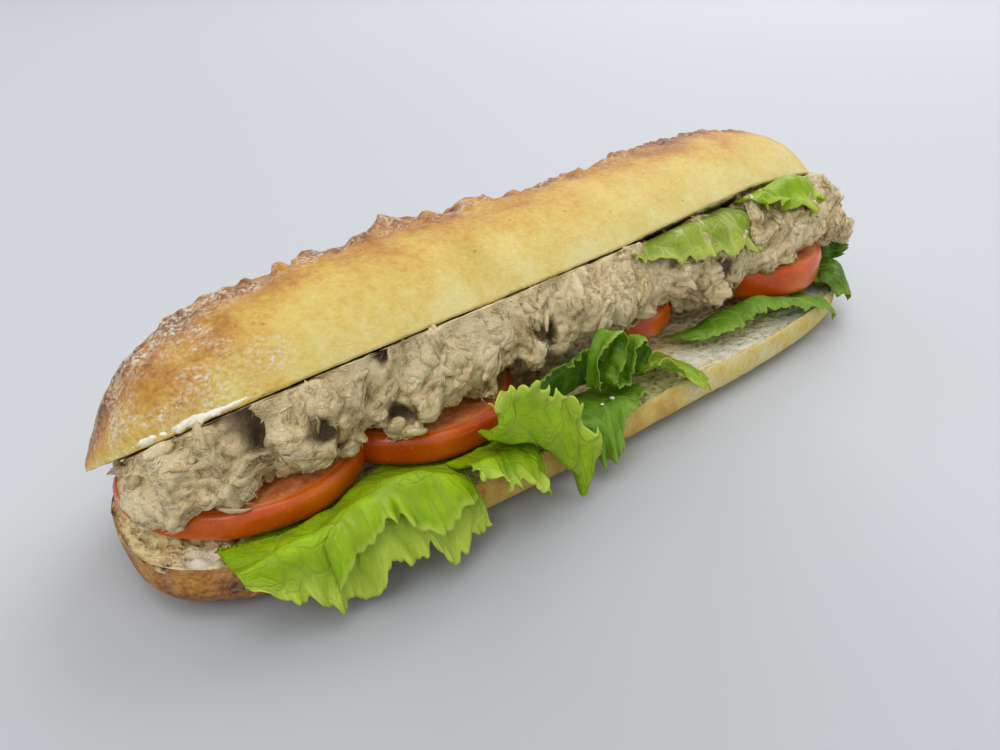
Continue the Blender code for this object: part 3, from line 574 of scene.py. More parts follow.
def make_loaf():
    """Both halves as fine skins over the frame's own sections, with crags, wrinkles and an open crumb."""
    upper = skinned("upper_half", upper_rings(loaf_places(212, 24), 150, 56))
    points, normals = points_of(upper), normals_of(upper)
    x, side, crumb = points[:, 0], noted(upper, "across"), noted(upper, "crumb")
    share = plan_share(x)
    soft, wave, fine = rough(points, 14, 1), rough(points, 6, 2), rough(points, 2.6, 3)
    crust = 1 - crumb
    ridge = bump_at(side, RIDGE_SIDE + 0.08 * rough(points * (1, 0, 0), 30, 4), 0.3)
    ridge *= smooth_step((share - 0.3) / 0.3)
    torn = np.abs(rough(points, 5.5, 5)) * 1.7 + np.abs(rough(points, 2.4, 6)) * 1.0 - 0.5
    left = smooth_step((-85 - x) / 30)
    move = crust * (0.2 * soft + 0.12 * wave + 0.06 * fine + ridge * torn * 1.3)
    move += crust * left * (0.3 * np.abs(wave) + 0.25 * fine)
    for *place, size, height in KNOBS:
        away = np.linalg.norm(points - np.array(place), axis=1)
        move += crust * height * smooth_step(1.2 - away / size)
    pits = np.minimum(np.abs(rough(points, 4.2, 7)) * 3.0, 1.0)
    move -= crumb * (0.9 * (1 - pits) ** 2 + 0.25 * fine + 0.1)
    move *= 0.3 + 0.7 * smooth_step((share - 0.15) / 0.4)
    put_points(upper, points + normals * move[:, None])
    baked = np.interp(side, *zip(*BAKED))
    baked += ridge * (0.05 + 0.22 * torn) + left * (0.14 + 0.12 * wave) + 0.06 * soft
    baked += 0.16 * smooth_step((x - 10) / 60) * smooth_step((0.97 - side) / 0.3)
    note(upper, "browning_and_painted_light", baked)
    flour = 0.5 * left * smooth_step((0.9 - side) / 0.5) + 0.5 * ridge
    flour += 0.5 * bump_at(side, 0.98, 0.05) * smooth_step((-95 - x) / 20)
    note(upper, "flour", floured(points, flour) * crust)
    note(upper, "blister", left)
    note(upper, "smear", np.zeros(len(points)))

    lower = skinned("lower_half", lower_rings(loaf_places(190, 20), 7, 66, 74))
    points, normals = points_of(lower), normals_of(lower)
    x, y, z = points.T
    crumb = noted(lower, "crumb")
    crust = 1 - crumb
    soft, wave, fine = rough(points, 13, 11), rough(points, 6, 12), rough(points, 2.6, 13)
    flat_part = smooth_step(z / 2.0)
    move = crust * flat_part * (0.3 * soft + 0.2 * wave + 0.12 * fine)
    pits = np.minimum(np.abs(rough(points, 4.6, 7)) * 3.0, 1.0)
    deep = smooth_step((-108 - x) / 14)
    move -= crumb * ((0.8 + 1.3 * deep) * (1 - pits) ** 2 + 0.3 * fine + 0.1)
    move *= 0.25 + 0.75 * smooth_step((plan_share(x) - 0.2) / 0.4)
    moved = points + normals * move[:, None]
    moved[:, 2] = np.maximum(moved[:, 2], 0.0)
    put_points(lower, moved)
    low = np.interp(x, (-135, -95, -60, 0, 60, 135), (0.72, 0.66, 0.48, 0.3, 0.18, 0.3))
    low += 0.2 * wave + 0.14 * fine + 0.1 * soft
    # Painted light: the lower crust's shaded wall is painted paler towards the right and near the table,
    # standing in for light that reaches it.
    low -= 0.08 * smooth_step((x + 20) / 60)
    low -= 0.22 * smooth_step((4.0 - z) / 4.0) * smooth_step((x + 110) / 30)
    note(lower, "browning_and_painted_light", low)
    flour = np.maximum(0.65 * smooth_step((3.2 - z) / 2.0), 0.12)
    note(lower, "flour", floured(points, flour) * crust)
    note(lower, "blister", smooth_step((-60 - x) / 30))
    smear = np.zeros(len(points))
    for sx, sy, size in SMEARED:
        smear = np.maximum(smear, smooth_step(1.3 - np.hypot(x - sx, y - sy) / size))
    note(lower, "smear", smear * crumb)
    select_only(lower)
    upper.select_set(True)
    bpy.ops.object.join()
    lower.name = "loaf"
    return served(lower, loaf_finish(), "bread", "bread")


# Dressing dried along the upper lip, as place along it and size, and drops on the dark leaves
LIP_SMEAR = (
    (-129.0, 0.25), (-127.0, 0.9), (-123.6, 0.7), (-119.9, 1.1), (-115.7, 1.0), (-112.5, 0.7),
    (-106.0, 0.2),
)
SMEAR_STEPS = 90
DROPS = (
    (-13.0, -25.0, 20.8, 0.9), (-14.8, -36.5, 20.3, 0.7), (-19.3, -37.0, 20.3, 0.5),
    (128.0, -14.0, 24.0, 0.8),
)


def dressing_finish():
    f = Finish("dried_dressing", 0.45, 0.5)
    colour = f.ramp(f.noise(2.0, 5, 0.6), (0.3, 214, 204, 172), (0.6, 244, 240, 226))
    return f.done(colour, f.bump(f.noise(0.9, 4, 0.6), 0.3))


def make_dressing():
    """The smear along the lip, from a bevelled curve, and drops from small balls."""
    line = bpy.data.curves.new("lip_smear", "CURVE")
    line.dimensions = "3D"
    line.bevel_depth = MM
    line.bevel_resolution = 4
    line.use_fill_caps = True
    along, size = (curve_weights(len(LIP_SMEAR), np.linspace(0, 1, SMEAR_STEPS)) @ np.array(LIP_SMEAR)).T
    lip = FACE_MIDDLE + FACE_REACH * plan_share(along)
    along = np.column_stack([from_upper(along, lip - 0.3, np.full(SMEAR_STEPS, 1.0)), size])
    path = line.splines.new("POLY")
    path.points.add(len(along) - 1)
    for point, (x, y, z, size) in zip(path.points, along):
        point.co = (x * MM, y * MM, z * MM, 1)
        point.radius = size * (1 + 0.5 * noise.noise(Vector((x, y, z)) / 1.5))
    select_only(linked("lip_smear", line))
    bpy.ops.object.convert(target="MESH")
    smear = bpy.context.object
    points = points_of(smear)
    knobbly = 0.5 * rough(points, 1.6, 61) + 0.25 * rough(points, 0.8, 62)
    put_points(smear, points + normals_of(smear) * knobbly[:, None])
    finish = dressing_finish()
    served(smear, finish, "bread")
    for number, (x, y, z, size) in enumerate(DROPS):
        drop = begun(
            "dressing_drop_%d" % (number + 1), bpy.ops.mesh.primitive_uv_sphere_add,
            segments=20, ring_count=12, radius=size * MM)
        points = points_of(drop)
        points = points * (1.0, 1.0, 0.55) * (1 + 0.3 * rough(points + (x, y, z), 1.4, 63))[:, None]
        put_points(drop, points + (x, y, z))
        served(drop, finish, "fish")


def floured(points, thin):
    """How much flour each point has: a thin dust and the thicker patches."""
    flour = thin
    for *place, size, strength in FLOURED:
        away = np.linalg.norm(points - np.array(place), axis=1)
        flour = np.maximum(flour, strength * smooth_step(1.25 - away / size))
    return np.maximum(flour, 0.06)


# The tomato slices


def tomato_finish(name, spec):
    x, y, radius = spec[0], spec[1], spec[3]
    f = Finish(name + "_peel_and_flesh", 0.22, 0.35)
    centred = f.moved(f.place, location=(-x * MM, -y * MM, 0))
    squares = [f.sum("POWER", f.part(centred, number), 2.0) for number in (0, 1)]
    out = f.sum("SQRT", f.plus(*squares))
    wall = f.rescaled(out, (radius - 3.6) * MM, (radius - 2.0) * MM)
    upward = f.part(f.node("NewGeometry", "Normal"), 2)
    level = f.rescaled(f.sum("ABSOLUTE", upward), 0.8, 0.97)
    streaks = f.noise(3.2, 5, 0.6, distortion=0.6)
    flesh = f.ramp(streaks, (0.3, 186, 86, 40), (0.5, 212, 122, 66), (0.68, 232, 166, 112))
    band = f.mix(f.rescaled(wall, 0.15, 0.6), flesh, tint(214, 120, 62))
    peel = f.ramp(
        f.noise(14, 3, 0.5), (0.3, 180, 64, 2), (0.5, 196, 80, 4), (0.72, 214, 106, 12))
    flecks = f.rescaled(f.noise(0.9, 2, 0.4), 0.62, 0.72)
    peel = f.mix(f.times(flecks, 0.25), peel, tint(222, 140, 60))
    open_part = f.times(level, f.rescaled(wall, 0.55, 1.0, 1.0, 0.0))
    colour = f.mix(open_part, peel, band)
    f.set(f.shader, {
        "Coat Weight": 0.14, "Coat Roughness": 0.08, "Subsurface Weight": 0.12,
        "Subsurface Radius": (0.004, 0.0012, 0.0006), "Subsurface Scale": 1.0})
    height = f.times(f.noise(2.4, 4, 0.6), open_part)
    return f.done(colour, f.bump(height, 0.5), f.rescaled(open_part, 0.0, 1.0, 0.27, 0.36))


def make_slice(name, spec):
    """A round slice: a drum with soft rims, its ends inset and a little sunk, its back flattened."""
    x, y, under, radius, thick, back = spec
    piece = begun(
        name + "_slice", bpy.ops.mesh.primitive_cylinder_add,
        vertices=144, radius=radius * MM, depth=thick * MM)
    shaped(piece, "BEVEL", width=SLICE_EDGE * MM, segments=5, limit_method="ANGLE")
    select_only(piece)
    bpy.ops.object.mode_set(mode="EDIT")
    bpy.ops.mesh.select_mode(type="FACE")
    bpy.ops.mesh.select_all(action="DESELECT")
    bpy.ops.object.mode_set(mode="OBJECT")
    for face in piece.data.polygons:
        face.select = abs(face.normal.z) > 0.999 and len(face.vertices) > 8
    bpy.ops.object.mode_set(mode="EDIT")
    for _ in range(SLICE_RINGS):
        bpy.ops.mesh.inset(
            thickness=(radius - SLICE_EDGE) / (SLICE_RINGS + 1) * MM, use_individual=False)
    bpy.ops.object.mode_set(mode="OBJECT")
    points, normals = points_of(piece), normals_of(piece)
    out = np.hypot(points[:, 0], points[:, 1])
    wobble = 1.0 + SLICE_WOBBLE * raw_noise((points[:, 0] + x) / 14, points[:, 1] / 14, 0.5)
    ends = smooth_step((np.abs(normals[:, 2]) - 0.8) / 0.2) * smooth_step((radius - 3 - out) / 3)
    dip = 0.5 * rough(points + (x, 0, 0), 7, 8) + 0.25 * rough(points + (x, 0, 0), 2.5, 9)
    points[:, 2] -= np.sign(points[:, 2]) * ends * (0.45 + dip * 0.7)
    points[:, 0] = points[:, 0] * wobble + x
    points[:, 1] = points[:, 1] * wobble * np.where(points[:, 1] > 0, back, 1.0) + y
    points[:, 2] += under + thick / 2
    put_points(piece, points)
    return served(piece, tomato_finish(name, spec), "tomato", name)


# The leaves


def curve_weights(count, place):
    """How much each of some points counts towards the smooth curve through them, at places from 0 to 1."""
    span = np.clip(place, 0, 1) * (count - 1)
    first = np.minimum(span.astype(int), count - 2)
    t = span - first
    rows = np.zeros((len(place), count))
    shares = (-0.5 * t + t * t - 0.5 * t ** 3, 1 - 2.5 * t * t + 1.5 * t ** 3,
              0.5 * t + 2 * t * t - 1.5 * t ** 3, -0.5 * t * t + 0.5 * t ** 3)
    for step, share in zip((-1, 0, 1, 2), shares):
        np.add.at(rows, (np.arange(len(place)), np.clip(first + step, 0, count - 1)), share)
    return rows


def way_long(points):
    """How long the way is from point to point."""
    return float(np.linalg.norm(np.diff(points, axis=0), axis=1).sum())


def ribs_of(spec):
    return np.array(spec[-1], float).reshape(len(spec[-1]), -1, 3)


def on_ribs(ribs, s, t):
    """Places on the smooth sheet through a leaf's ribs, s along the leaf and t down it."""
    rows, columns = (curve_weights(ribs.shape[k], place) for k, place in enumerate((s, t)))
    return np.einsum("nr,nc,rcx->nx", rows, columns, ribs)


def unit(rows):
    return rows / np.maximum(np.linalg.norm(rows, axis=1, keepdims=True), 1e-9)


def out_of_the_way(points):
    """Leaf points pushed off the loaf's halves and the tomato slices."""
    room = LEAF_CLEAR + LEAF_THICK / 2
    x, y, z = points.T.copy()
    for cx, cy, under, radius, tall, back in SLICES.values():
        flat = np.where(y > cy, back, 1.0)
        ax, ay = x - cx, (y - cy) / flat
        away = np.hypot(ax, ay)
        over, below, aside = under + tall + room - z, z - (under - room), radius + room - away
        inside = np.minimum(np.minimum(over, below), aside) > 0
        out = inside & (aside <= np.minimum(over, below)) & (away > 1)
        grow = (radius + room) / np.maximum(away, 1)
        x = np.where(out, cx + ax * grow, x)
        y = np.where(out, cy + ay * grow * flat, y)
        z = np.where(inside & ~out, np.where(below <= over, under - room, under + tall + room), z)
    half = LOAF_SIDE * plan_share(x)
    rest = np.where(np.abs(y) < half - 7, LOWER_FACE + 0.9, LOWER_LIP + 0.7) + LEAF_THICK / 2
    reach = (np.abs(x) / (LOAF_HALF + room)) ** LOAF_SQUARE
    reach = reach + (np.abs(y) / (LOAF_SIDE + room)) ** LOAF_SQUARE
    outward = reach ** (-1 / LOAF_SQUARE)
    low = (z < rest) & (outward > 1)
    slide = low & ((outward - 1) * np.hypot(x * 0.2, y) < rest - z)
    x, y = np.where(slide, x * outward, x), np.where(slide, y * outward, y)
    z = np.where(low & ~slide, rest, z)
    placed = np.stack([x, y, z], -1)
    u, w = to_upper(placed)
    under_lid = (u > 0) & (u < FACE_FRONT * 0.97) & (w > -room) & (w < 20)
    placed = np.where(under_lid[:, None], from_upper(x, u, np.full(len(x), -room)), placed)
    placed[:, 2] = np.maximum(placed[:, 2], 0.8 + LEAF_THICK)
    return placed


LEAF_TONES = {
    "bright": ((138, 178, 6), (178, 212, 22), (150, 176, 40), (216, 232, 96)),
    "mid": ((130, 174, 14), (168, 204, 34), (202, 218, 100), (206, 222, 92)),
    "pale": ((134, 158, 18), (176, 196, 52), (216, 222, 140), (204, 216, 104)),
    "deep": ((88, 138, 12), (126, 170, 28), (150, 186, 70), (166, 198, 78)),
    "dark": ((64, 108, 12), (98, 142, 24), (136, 174, 66), (150, 186, 72)),
}


def leaf_finish(name, tone, size):
    """Blade, veins and edge of a leaf, in its own UV map: along it, then root to edge."""
    dark, middle, vein, edge = (tint(*colour) for colour in LEAF_TONES[tone])
    f = Finish(name + "_blade", 0.34, 0.32)
    sheet = f.moved(f.node("TexCoord", "UV"), scale=(size[0] * MM, size[1] * MM, 1))
    wander = f.node("TexNoise", "Color", {"Vector": sheet, "Scale": 110})
    bent = f.node(
        "VectorMath", 0, {0: wander, 1: (0.006, 0.006, 0), 2: sheet}, operation="MULTIPLY_ADD")
    main = f.cells(11.0, "DISTANCE_TO_EDGE", f.moved(bent, scale=(1.0, 0.42, 1)))
    side = f.cells(4.6, "DISTANCE_TO_EDGE", bent)
    fine = f.cells(1.6, "DISTANCE_TO_EDGE", bent)
    side = f.times(f.rescaled(side, 0.01, 0.09, 1.0, 0.0), 0.5)
    veins = f.sum("MAXIMUM", f.rescaled(main, 0.015, 0.085, 1.0, 0.0), side)
    veins = f.sum("MAXIMUM", veins, f.times(f.rescaled(fine, 0.0, 0.12, 1.0, 0.0), 0.16))
    blade = f.mix(f.rescaled(f.noise(9, 4, 0.6), 0.3, 0.7), dark, middle)
    rim = f.rescaled(f.attribute("edge"), 0.8, 1.0)
    colour = f.mix(f.times(veins, 0.55), blade, vein)
    colour = f.mix(f.times(rim, 0.75), colour, edge)
    height = f.plus(f.times(veins, -0.55), f.times(f.noise(3.0, 3, 0.5), 0.35))
    normal = f.bump(height, 0.55)
    material = f.done(colour, normal, f.rescaled(f.noise(7, 3), 0.35, 0.65, 0.24, 0.46))
    through = f.node("BsdfTranslucent", 0, {"Color": colour, "Normal": normal})
    both = f.node("MixShader", 0, {0: 0.3, 1: f.shader.outputs[0], 2: through})
    f.set(f.nodes["Material Output"], {"Surface": both})
    return material


# The side from which the leaves are seen, to which their margins curl
VIEW = np.array((-0.55, -0.67, 0.50))
# Where the front leaf's margin is folded back over its blade: along the leaf, then down it
FOLD = (
    (0.29, 0.86), (0.34, 0.80), (0.42, 0.76), (0.51, 0.74), (0.62, 0.77), (0.69, 0.85), (0.76, 0.84),
    (0.82, 0.80), (0.96, 0.76),
)
FOLD_DEEP = 0.17


def leaf_surface(spec, s, t):
    """Places on a leaf with its broad ruffle as in the frame, the way down it and the way outward."""
    waves, ruffle, seed = spec[:3]
    ribs = ribs_of(spec)
    step = 0.01
    s1, t1 = np.minimum(s + step, 1), np.minimum(t + step, 1)
    along = unit(on_ribs(ribs, s1, t) - on_ribs(ribs, s1 - 2 * step, t))
    across = unit(on_ribs(ribs, s, t1) - on_ribs(ribs, s, t1 - 2 * step))
    up = unit(np.cross(along, across))
    first = raw_noise(s * 4, t * 1.5, seed / 10)
    second = raw_noise(s * 60 / 9, t * 30 / 9, (seed + 5) / 9)
    swell = 1.0 + 0.7 * raw_noise(s * 9, seed / 10, 0.4)
    turn = TURN * (s * waves + 0.35 * first)
    lift = ruffle * swell * t ** 3 * np.sin(turn) + 0.8 * second
    return on_ribs(ribs, s, t) + up * lift[:, None], across, up * np.sign((up @ VIEW).sum())


def thickened(sheet, v):
    """The sheet as a thin solid that gets thinner still towards its free edge."""
    body = sheet.vertex_groups.new(name="body")
    for number, share in enumerate((1 - smooth_step((v - 0.5) / 0.45)).tolist()):
        body.add((number,), share, "REPLACE")
    shaped(
        sheet, "SOLIDIFY", thickness=LEAF_THICK * MM, offset=0.0, vertex_group="body",
        thickness_vertex_group=0.35)


def make_fold():
    """The front leaf's folded margin: a narrow sheet on its blade whose frilled edge stands off."""
    fold = flat_grid("lettuce_front_fold", 230, 20)
    share, v = (points_of(fold)[:, :2] * MM + 0.5).T
    s = FOLD[0][0] + (FOLD[-1][0] - FOLD[0][0]) * share
    t = np.interp(s, *zip(*FOLD)) - FOLD_DEEP * (1 - v)
    points, across, outward = leaf_surface(LEAVES["lettuce_front"], s, t)
    place = np.stack([s * 60, v * 5, 0 * s + 7], -1)
    free = smooth_step((v - 0.35) / 0.65) * smooth_step(np.minimum(share, 1 - share) * 9)
    uneven = 0.4 + 1.4 * np.abs(rough(place * (1, 0.2, 1), 9, 23))
    turn = TURN * (s * 8 + 1.3 * rough(place * (1, 0.6, 1), 12, 24))
    fine = TURN * (s * 19 + 1.2 * rough(place * (1, 0.5, 1), 6, 25))
    lift = 0.7 + 1.0 * smooth_step(v) + 1.6 * free
    lift += 1.3 * free * uneven * np.cos(turn) + 0.35 * free ** 2 * np.sin(fine)
    down = 1.1 * free * uneven * np.sin(turn) + 0.4 * free ** 2 * np.cos(fine)
    put_points(fold, points + outward * lift[:, None] + across * down[:, None])
    note(fold, "edge", v)
    thickened(fold, v)
    return served(fold, leaf_finish("lettuce_front_fold", "bright", (40.0, 5.0)), "lettuce")


def make_leaf(name, spec):
    """A leaf from a flat grid: laid along its ribs, ruffled as in the frame and frilled at its edge."""
    waves, _, seed, columns, rows, tone, frill, _ = spec
    ribs = ribs_of(spec)
    leaf = flat_grid(name + "_leaf", columns, rows)
    length, deep = way_long(ribs[:, -1]), way_long(ribs[len(ribs) // 2])
    s, v = (points_of(leaf)[:, :2] * MM + 0.5).T
    place = np.stack([s * length, v * deep, 0 * s + seed * 9], -1)
    lobe = np.abs(np.sin(math.pi * (s * waves * 1.5 + seed)))
    wander = raw_noise(s * 10, seed / 5, 0.4)
    edge = 1.0 - 0.04 * (1 - lobe) - 0.05 * (1 + wander)
    scallop = 1 - np.abs(np.sin(math.pi * (s * length / CURL + 1.2 * rough(place * (1, 0, 1), 15, seed))))
    ragged = 1.0 * scallop ** 2 + 1.0 * np.abs(rough(place * (1, 0, 1), 2.2, seed))
    edge -= (ragged / deep) * smooth_step((v - 0.6) / 0.4)
    t = v * edge
    points, across, outward = leaf_surface(spec, s, t)
    rim = np.clip((deep * (1 - v)) / FRILL_DEEP, 0, 1)
    loose = smooth_step(1 - rim)
    uneven = 0.35 + 1.5 * np.abs(rough(place * (1, 0.2, 1), 11, seed + 3))
    curl_turn = TURN * (s * length / CURL + 1.4 * rough(place * (1, 0.5, 1), 11, seed))
    fine_turn = TURN * (s * length / FINE_CURL + 1.3 * rough(place * (1, 0.6, 1), 5, seed + 1))
    lift = (1 - 0.7 * loose) * (0.7 * rough(place, 9, seed + 2) + 0.28 * np.abs(rough(place, 4, seed + 4)))
    curl, flare = frill * loose * uneven, 1.1 * frill * loose ** 1.5
    small = 0.3 * frill * loose ** 3
    off = lift + flare + 1.1 * curl * np.cos(curl_turn) + small * np.sin(fine_turn)
    down = 0.7 * curl * np.sin(curl_turn) + small * np.cos(fine_turn) - 0.6 * flare
    points = points + outward * off[:, None] + across * down[:, None]
    put_points(leaf, out_of_the_way(points))
    note(leaf, "edge", v)
    thickened(leaf, v)
    slot = "lettuce_dark" if tone in ("deep", "dark") else "lettuce"
    return served(leaf, leaf_finish(name, tone, (length, deep)), slot, name)


# The fish

# Clumps that the flaked flesh is parted into, how fine its skin is, and the gap that it keeps to
# the upper half's face
CLUMPS = 560
FISH_VOXEL = 0.72
FISH_GAP = 0.4
# Shadowed pockets between the chunks, pushed in and painted dark as shade: place, radius, depth
POCKETS = (
    (-112.8, -22.4, 42.7, 4.8, 6), (-94.6, -23.4, 35.3, 3.4, 4), (-79.5, -20.4, 46.0, 3.0, 5),
    (-74.3, -23.1, 33.5, 3.4, 5), (-26.0, -22.0, 38.0, 3.2, 4), (55.0, -17.0, 34.0, 3.2, 4),
)
# Layers over the heap: name, how many, length, width, thickness, how far they stray from their
# clump's grain, how far they stand off, seed
FISH_LAYERS = (
    ("fish_shreds", 520, (3.0, 8.0), (1.8, 4.2), (0.5, 1.0), 0.4, -0.2, 41),
    ("fish_fibres", 6000, (1.6, 4.5), (0.26, 0.7), (0.16, 0.3), 0.3, -0.08, 43),
    ("fish_hairs", 800, (2.0, 6.0), (0.16, 0.3), (0.14, 0.24), 0.7, 0.3, 47),
)


def fish_finish(name, dark):
    f = Finish(name, 0.5, 0.4)
    broad, close = f.noise(9, 4, 0.6), f.noise(1.4, 5, 0.65, distortion=0.8)
    tone = f.plus(f.times(broad, 0.55), f.times(close, 0.45))
    # The pale attribute brings random tone and, on the heap, painted shade in its creases, cavities and
    # pockets.
    tone = f.plus(tone, f.times(f.attribute("pale"), 0.5))
    low, middle, high = (150, 122, 76), (230, 206, 156), (244, 228, 190)
    if not dark:
        low, middle, high = (180, 152, 104), (236, 214, 166), (246, 232, 198)
    colour = f.ramp(
        tone, (0.26, *low), (0.47, *middle), (0.66, *high), (1.0, 246, 238, 214))
    threads = f.noise(0.9, 5, 0.65, distortion=1.5)
    # Painted shade: the pockets are painted dark brown by the deep attribute, as the shade that falls in
    # them.
    colour = f.mix(f.attribute("deep"), colour, tint(58, 42, 24))
    return f.done(colour, f.bump(threads, 0.6), f.rescaled(f.noise(4, 3), 0.35, 0.65, 0.4, 0.62))


def picked_faces(mesh, wanted, count, seed):
    """Places and normals of faces of a mesh, picked by their area among those wanted."""
    areas = read(mesh.polygons, "area", 1)[:, 0]
    order = np.flatnonzero(wanted)
    steps = np.cumsum(areas[order]) / areas[order].sum()
    draw = np.random.default_rng(seed)
    spots = order[np.minimum(np.searchsorted(steps, draw.random(count)), len(order) - 1)]
    return read(mesh.polygons, "center")[spots] / MM, read(mesh.polygons, "normal")[spots]


def clumps_of(mesh):
    """Clumps of the flaked fish: where each is centred and which way its fibres run."""
    places, normals = picked_faces(mesh, np.ones(len(mesh.polygons), bool), CLUMPS, 31)
    draw = np.random.default_rng(32)
    ways = unit(draw.normal(size=places.shape) + (0.5, 0, 0.1))
    ways = unit(ways - normals * (ways * normals).sum(1, keepdims=True) * 0.85)
    tree = KDTree(len(places))
    for k, place in enumerate(places):
        tree.insert(place, k)
    tree.balance()
    return places, ways, tree


def nearest_clumps(tree, points):
    """For each point its nearest clump and how far it lies from the border with the next."""
    found = [tree.find_n(Vector(p), 2) for p in points]
    return np.array([pair[0][1] for pair in found]), np.array([pair[1][2] - pair[0][2] for pair in found])


def from_pocket(points, centre):
    """How far points lie from a pocket, along the view and across it."""
    offset = points - np.array(centre)
    near = offset @ VIEW
    return near, np.linalg.norm((offset - near[:, None] * VIEW) * (0.8, 0.8, 1.2), axis=1)


def make_fish_core():
    """The frame's fish heap, evened out, with clumps, creases, fibres and deep pockets, and painted shade
    in its creases, cavities and pockets.
    """
    core = copy_of("fish", "fish_heap")
    shaped(core, "REMESH", mode="VOXEL", voxel_size=FISH_VOXEL * MM)
    shaped(core, "SMOOTH", factor=0.5, iterations=5)
    clumps = clumps_of(core.data)
    points, normals = points_of(core), normals_of(core)
    nearest, border = nearest_clumps(clumps[2], points)
    way, centre = clumps[1][nearest], clumps[0][nearest]
    offset = points - centre
    run = (offset * way).sum(1, keepdims=True)
    strand_place = (offset - way * run * 0.85) + centre * 3.0
    edges = 0.35 + 0.65 * smooth_step(rough(points, 16.0, 15) * 2.5 + 0.5)
    move = 0.75 * edges * smooth_step(border / 2.4) + 2.0 * rough(points, 9.0, 11)
    move = move + 1.3 * rough(points, 4.4, 14) - 0.7
    move += 1.0 * rough(strand_place, 2.0, 12) + 0.75 * np.abs(rough(strand_place, 1.1, 13))
    # Painted shade: the deeper a point sinks below its clump, the darker it is painted, as shade in the
    # cavities.
    painted_cavity_shade = np.clip(-0.9 - move, 0.0, 1.2) * 0.4
    points = points + normals * move[:, None]
    # The pocket mask also sets where painted shade goes.
    painted_shade = np.zeros(len(points))
    for *place, size, depth in POCKETS:
        near, away = from_pocket(points, place)
        sunk = smooth_step(1.3 - (away + 3.2 * rough(points, 3.6, 71)) / size) * (near > -10)
        points = points - sunk[:, None] * depth * VIEW
        painted_shade = np.maximum(painted_shade, sunk)
    u, w = to_upper(points)
    lip = FACE_MIDDLE + FACE_REACH * plan_share(points[:, 0])
    near_lip = smooth_step((u - lip + 18) / 9) * smooth_step((w + 11) / 7) * (w < -FISH_GAP)
    leafless = 1 - smooth_step((points[:, 0] - 10) / 12)
    bulge = np.clip(lip + 0.5 + 2.0 * rough(points, 8.0, 72) - u, 0.0, 5.5) * leafless
    u, w = u + near_lip * bulge, w + near_lip * 0.9 * (-FISH_GAP - w)
    points = from_upper(points[:, 0], u, w)
    held = (u > -2) & (u < FACE_FRONT + 4) & (w > -FISH_GAP)
    points = np.where(held[:, None], from_upper(points[:, 0], u, np.full(len(u), -FISH_GAP)), points)
    put_points(core, points)
    # Painted shade: the heap is painted darker in its pockets, its low cavities and along the creases
    # between clumps, and dark brown in the pockets' middles.
    note(core, "pale", -0.3 * painted_shade - painted_cavity_shade - 0.2 * edges * (1 - smooth_step(border / 1.2)))
    note(core, "deep", 0.8 * smooth_step(painted_shade * 1.6 - 0.6))
    return served(core, fish_finish("fish_heap_flesh", True), "fish", "fish"), clumps


def blob(columns, rings):
    """A closed round shape of few faces: points on a unit ball and its triangles."""
    points, faces = [(1.0, 0.0, 0.0)], []
    for r in range(1, rings):
        a = math.pi * r / rings
        for c in range(columns):
            b = TURN * c / columns
            points.append((math.cos(a), math.sin(a) * math.cos(b), math.sin(a) * math.sin(b)))
    points.append((-1.0, 0.0, 0.0))
    for c in range(columns):
        n = (c + 1) % columns
        faces.append((0, 1 + c, 1 + n))
        for r in range(rings - 2):
            low, high = 1 + r * columns, 1 + (r + 1) * columns
            faces.append((low + c, high + c, high + n))
            faces.append((low + c, high + n, low + n))
        last = 1 + (rings - 2) * columns
        faces.append((last + c, len(points) - 1, last + n))
    return np.array(points), np.array(faces)


def scattered(name, shape, places, ways, flats, sizes, bends, tones):
    """One mesh of many bent copies of a shape, each laid its own way with its own size and bend."""
    points, faces = shape
    sides = np.cross(flats, ways)
    run, wide, tall = (points[None, :, k] * sizes[:, k, None] for k in range(3))
    bow = (points[None, :, 0] ** 2 - 0.4) * sizes[:, 0, None]
    wide = wide + bends[:, 0, None] * bow
    tall = tall - bends[:, 1, None] * bow
    spots = places[:, None] + ways[:, None] * run[..., None]
    spots = spots + sides[:, None] * wide[..., None] + flats[:, None] * tall[..., None]
    every = (faces[None] + (np.arange(len(places)) * len(points))[:, None, None]).reshape(-1, 3)
    piece = new_piece(name, spots.reshape(-1, 3), every.tolist())
    note(piece, "pale", np.repeat(tones, len(points)))
    note(piece, "deep", np.zeros(len(spots) * len(points)))
    return piece


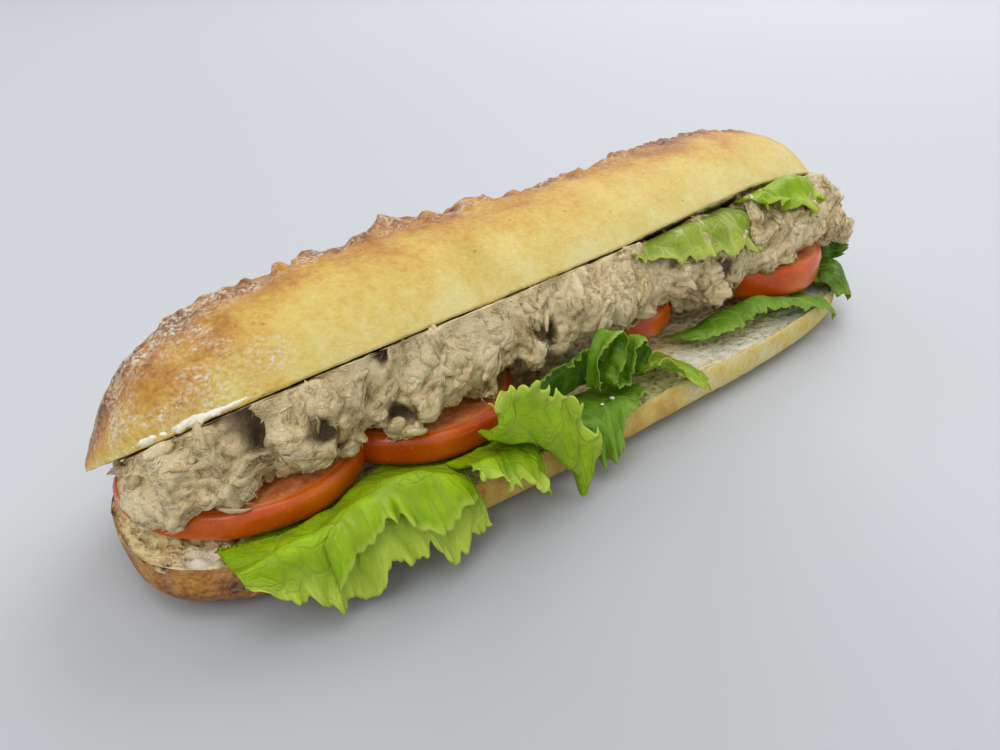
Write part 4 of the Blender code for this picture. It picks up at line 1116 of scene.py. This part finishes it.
def make_flakes(core, clumps):
    """Shreds and fine fibres of real mesh over the heap's open front, all along their clump's grain."""
    mesh = core.data
    centres, facing = read(mesh.polygons, "center") / MM, read(mesh.polygons, "normal")
    w = to_upper(centres)[1]
    seen = (centres[:, 1] < 2) & (facing[:, 1] < 0.35) | (np.abs(centres[:, 0]) > 126)
    seen &= w < -1.4
    for cx, cy, under, radius, tall, _ in SLICES.values():
        away = np.hypot(centres[:, 0] - cx, centres[:, 1] - cy)
        seen &= ~((away < radius + 0.2) & (centres[:, 2] < under + tall + 0.8))
    for *place, size, _ in POCKETS:
        seen &= from_pocket(centres, place)[1] > size
    for name, count, long, wide, thick, stray, lift, seed in FISH_LAYERS:
        places, normals = picked_faces(mesh, seen, count, seed)
        nearest = nearest_clumps(clumps[2], places)[0]
        draw = np.random.default_rng(seed + 1)
        wild = draw.normal(size=places.shape)
        ways = unit(clumps[1][nearest] + wild * stray)
        upright = normals * (ways * normals).sum(1, keepdims=True)
        ways = unit(ways - upright * draw.uniform(0.7, 1.0, (count, 1)))
        flats = unit(np.cross(ways, np.cross(normals + wild * 0.2, ways)))
        sizes = 0.5 * np.stack([draw.uniform(*span, count) for span in (long, wide, thick)], -1)
        places = places + normals * (lift + draw.uniform(-0.12, 0.12, (count, 1)))
        bends = np.stack([draw.normal(0, 0.3, count), draw.uniform(0.0, 0.35, count)], -1)
        shape = blob(5, 5) if name == "fish_shreds" else blob(3, 5)
        piece = scattered(name, shape, places, ways, flats, sizes, bends, draw.normal(-0.08, 0.1, count))
        served(piece, fish_finish(name + "_flesh", name == "fish_shreds"), "fish")


# The stage

# The photo's camera, as solved from it: what it aims at, the way back from there, how far, its lens
CAMERA_AIM = Vector((-0.0302, -0.0068, 0.02))
CAMERA_BACK = Vector((-0.5509, -0.6682, 0.5000))
CAMERA_AWAY = 0.2256
CAMERA_LENS = 28.08


def make_stage():
    """A pale table with a soft shadow painted on it in front of the loaf, soft light from above and
    behind, and the camera at the photo's angle.
    """
    table = begun("table_top", bpy.ops.mesh.primitive_plane_add, size=12.0)
    f = Finish("pale_table_painted_shadow", 0.6, 0.2)
    # Painted shadow: the table is painted darker around a spot in front of the loaf, as the loaf's soft
    # shade on it.
    away = f.node("VectorMath", "Value", {0: f.moved(f.place, location=(0.09, 0.085, 0))},
                  operation="LENGTH")
    painted_shade = f.plus(away, f.times(f.noise(60, 2, 0.5), 0.01))
    colour = f.ramp(painted_shade, (0.02, 168, 170, 172), (0.08, 175, 177, 180), (0.15, 187, 189, 192))
    table.data.materials.append(f.done(colour))
    world = bpy.data.worlds.new("studio")
    bpy.context.scene.world = world
    world.use_nodes = True
    sky = world.node_tree.nodes["Background"].inputs
    sky["Color"].default_value = (0.95, 0.97, 1.0, 1.0)
    sky["Strength"].default_value = 0.74
    lamps = (
        ("ceiling", "SUN", (-0.05, -0.10, 1.0), 0.7, 0.7),
        ("window", "AREA", (-0.65, -0.35, 0.75), 0.35, 2.0),
        ("far_lamp", "AREA", (1.5, 0.8, 1.6), 1.6, 24.0),
    )
    for name, kind, place, size, power in lamps:
        data = bpy.data.lights.new(name, kind)
        if kind == "SUN":
            data.angle = size
        else:
            data.shape = "SQUARE"
            data.size = size
        data.energy = power
        lamp = linked(name, data)
        lamp.location = place
        lamp.rotation_euler = Vector(place).to_track_quat("Z", "Y").to_euler()
    camera = linked("camera", bpy.data.cameras.new("camera"))
    camera.data.lens = CAMERA_LENS
    camera.data.sensor_width = 36.0
    camera.data.clip_start = 0.005
    camera.location = CAMERA_AIM + CAMERA_BACK * CAMERA_AWAY
    camera.rotation_euler = CAMERA_BACK.to_track_quat("Z", "Y").to_euler()
    bpy.context.scene.camera = camera
    bpy.context.scene.view_settings.view_transform = "Standard"


make_stage()
make_loaf()
for name, spec in SLICES.items():
    make_slice(name, spec)
for name, spec in LEAVES.items():
    make_leaf(name, spec)
make_fold()
make_flakes(*make_fish_core())
make_dressing()
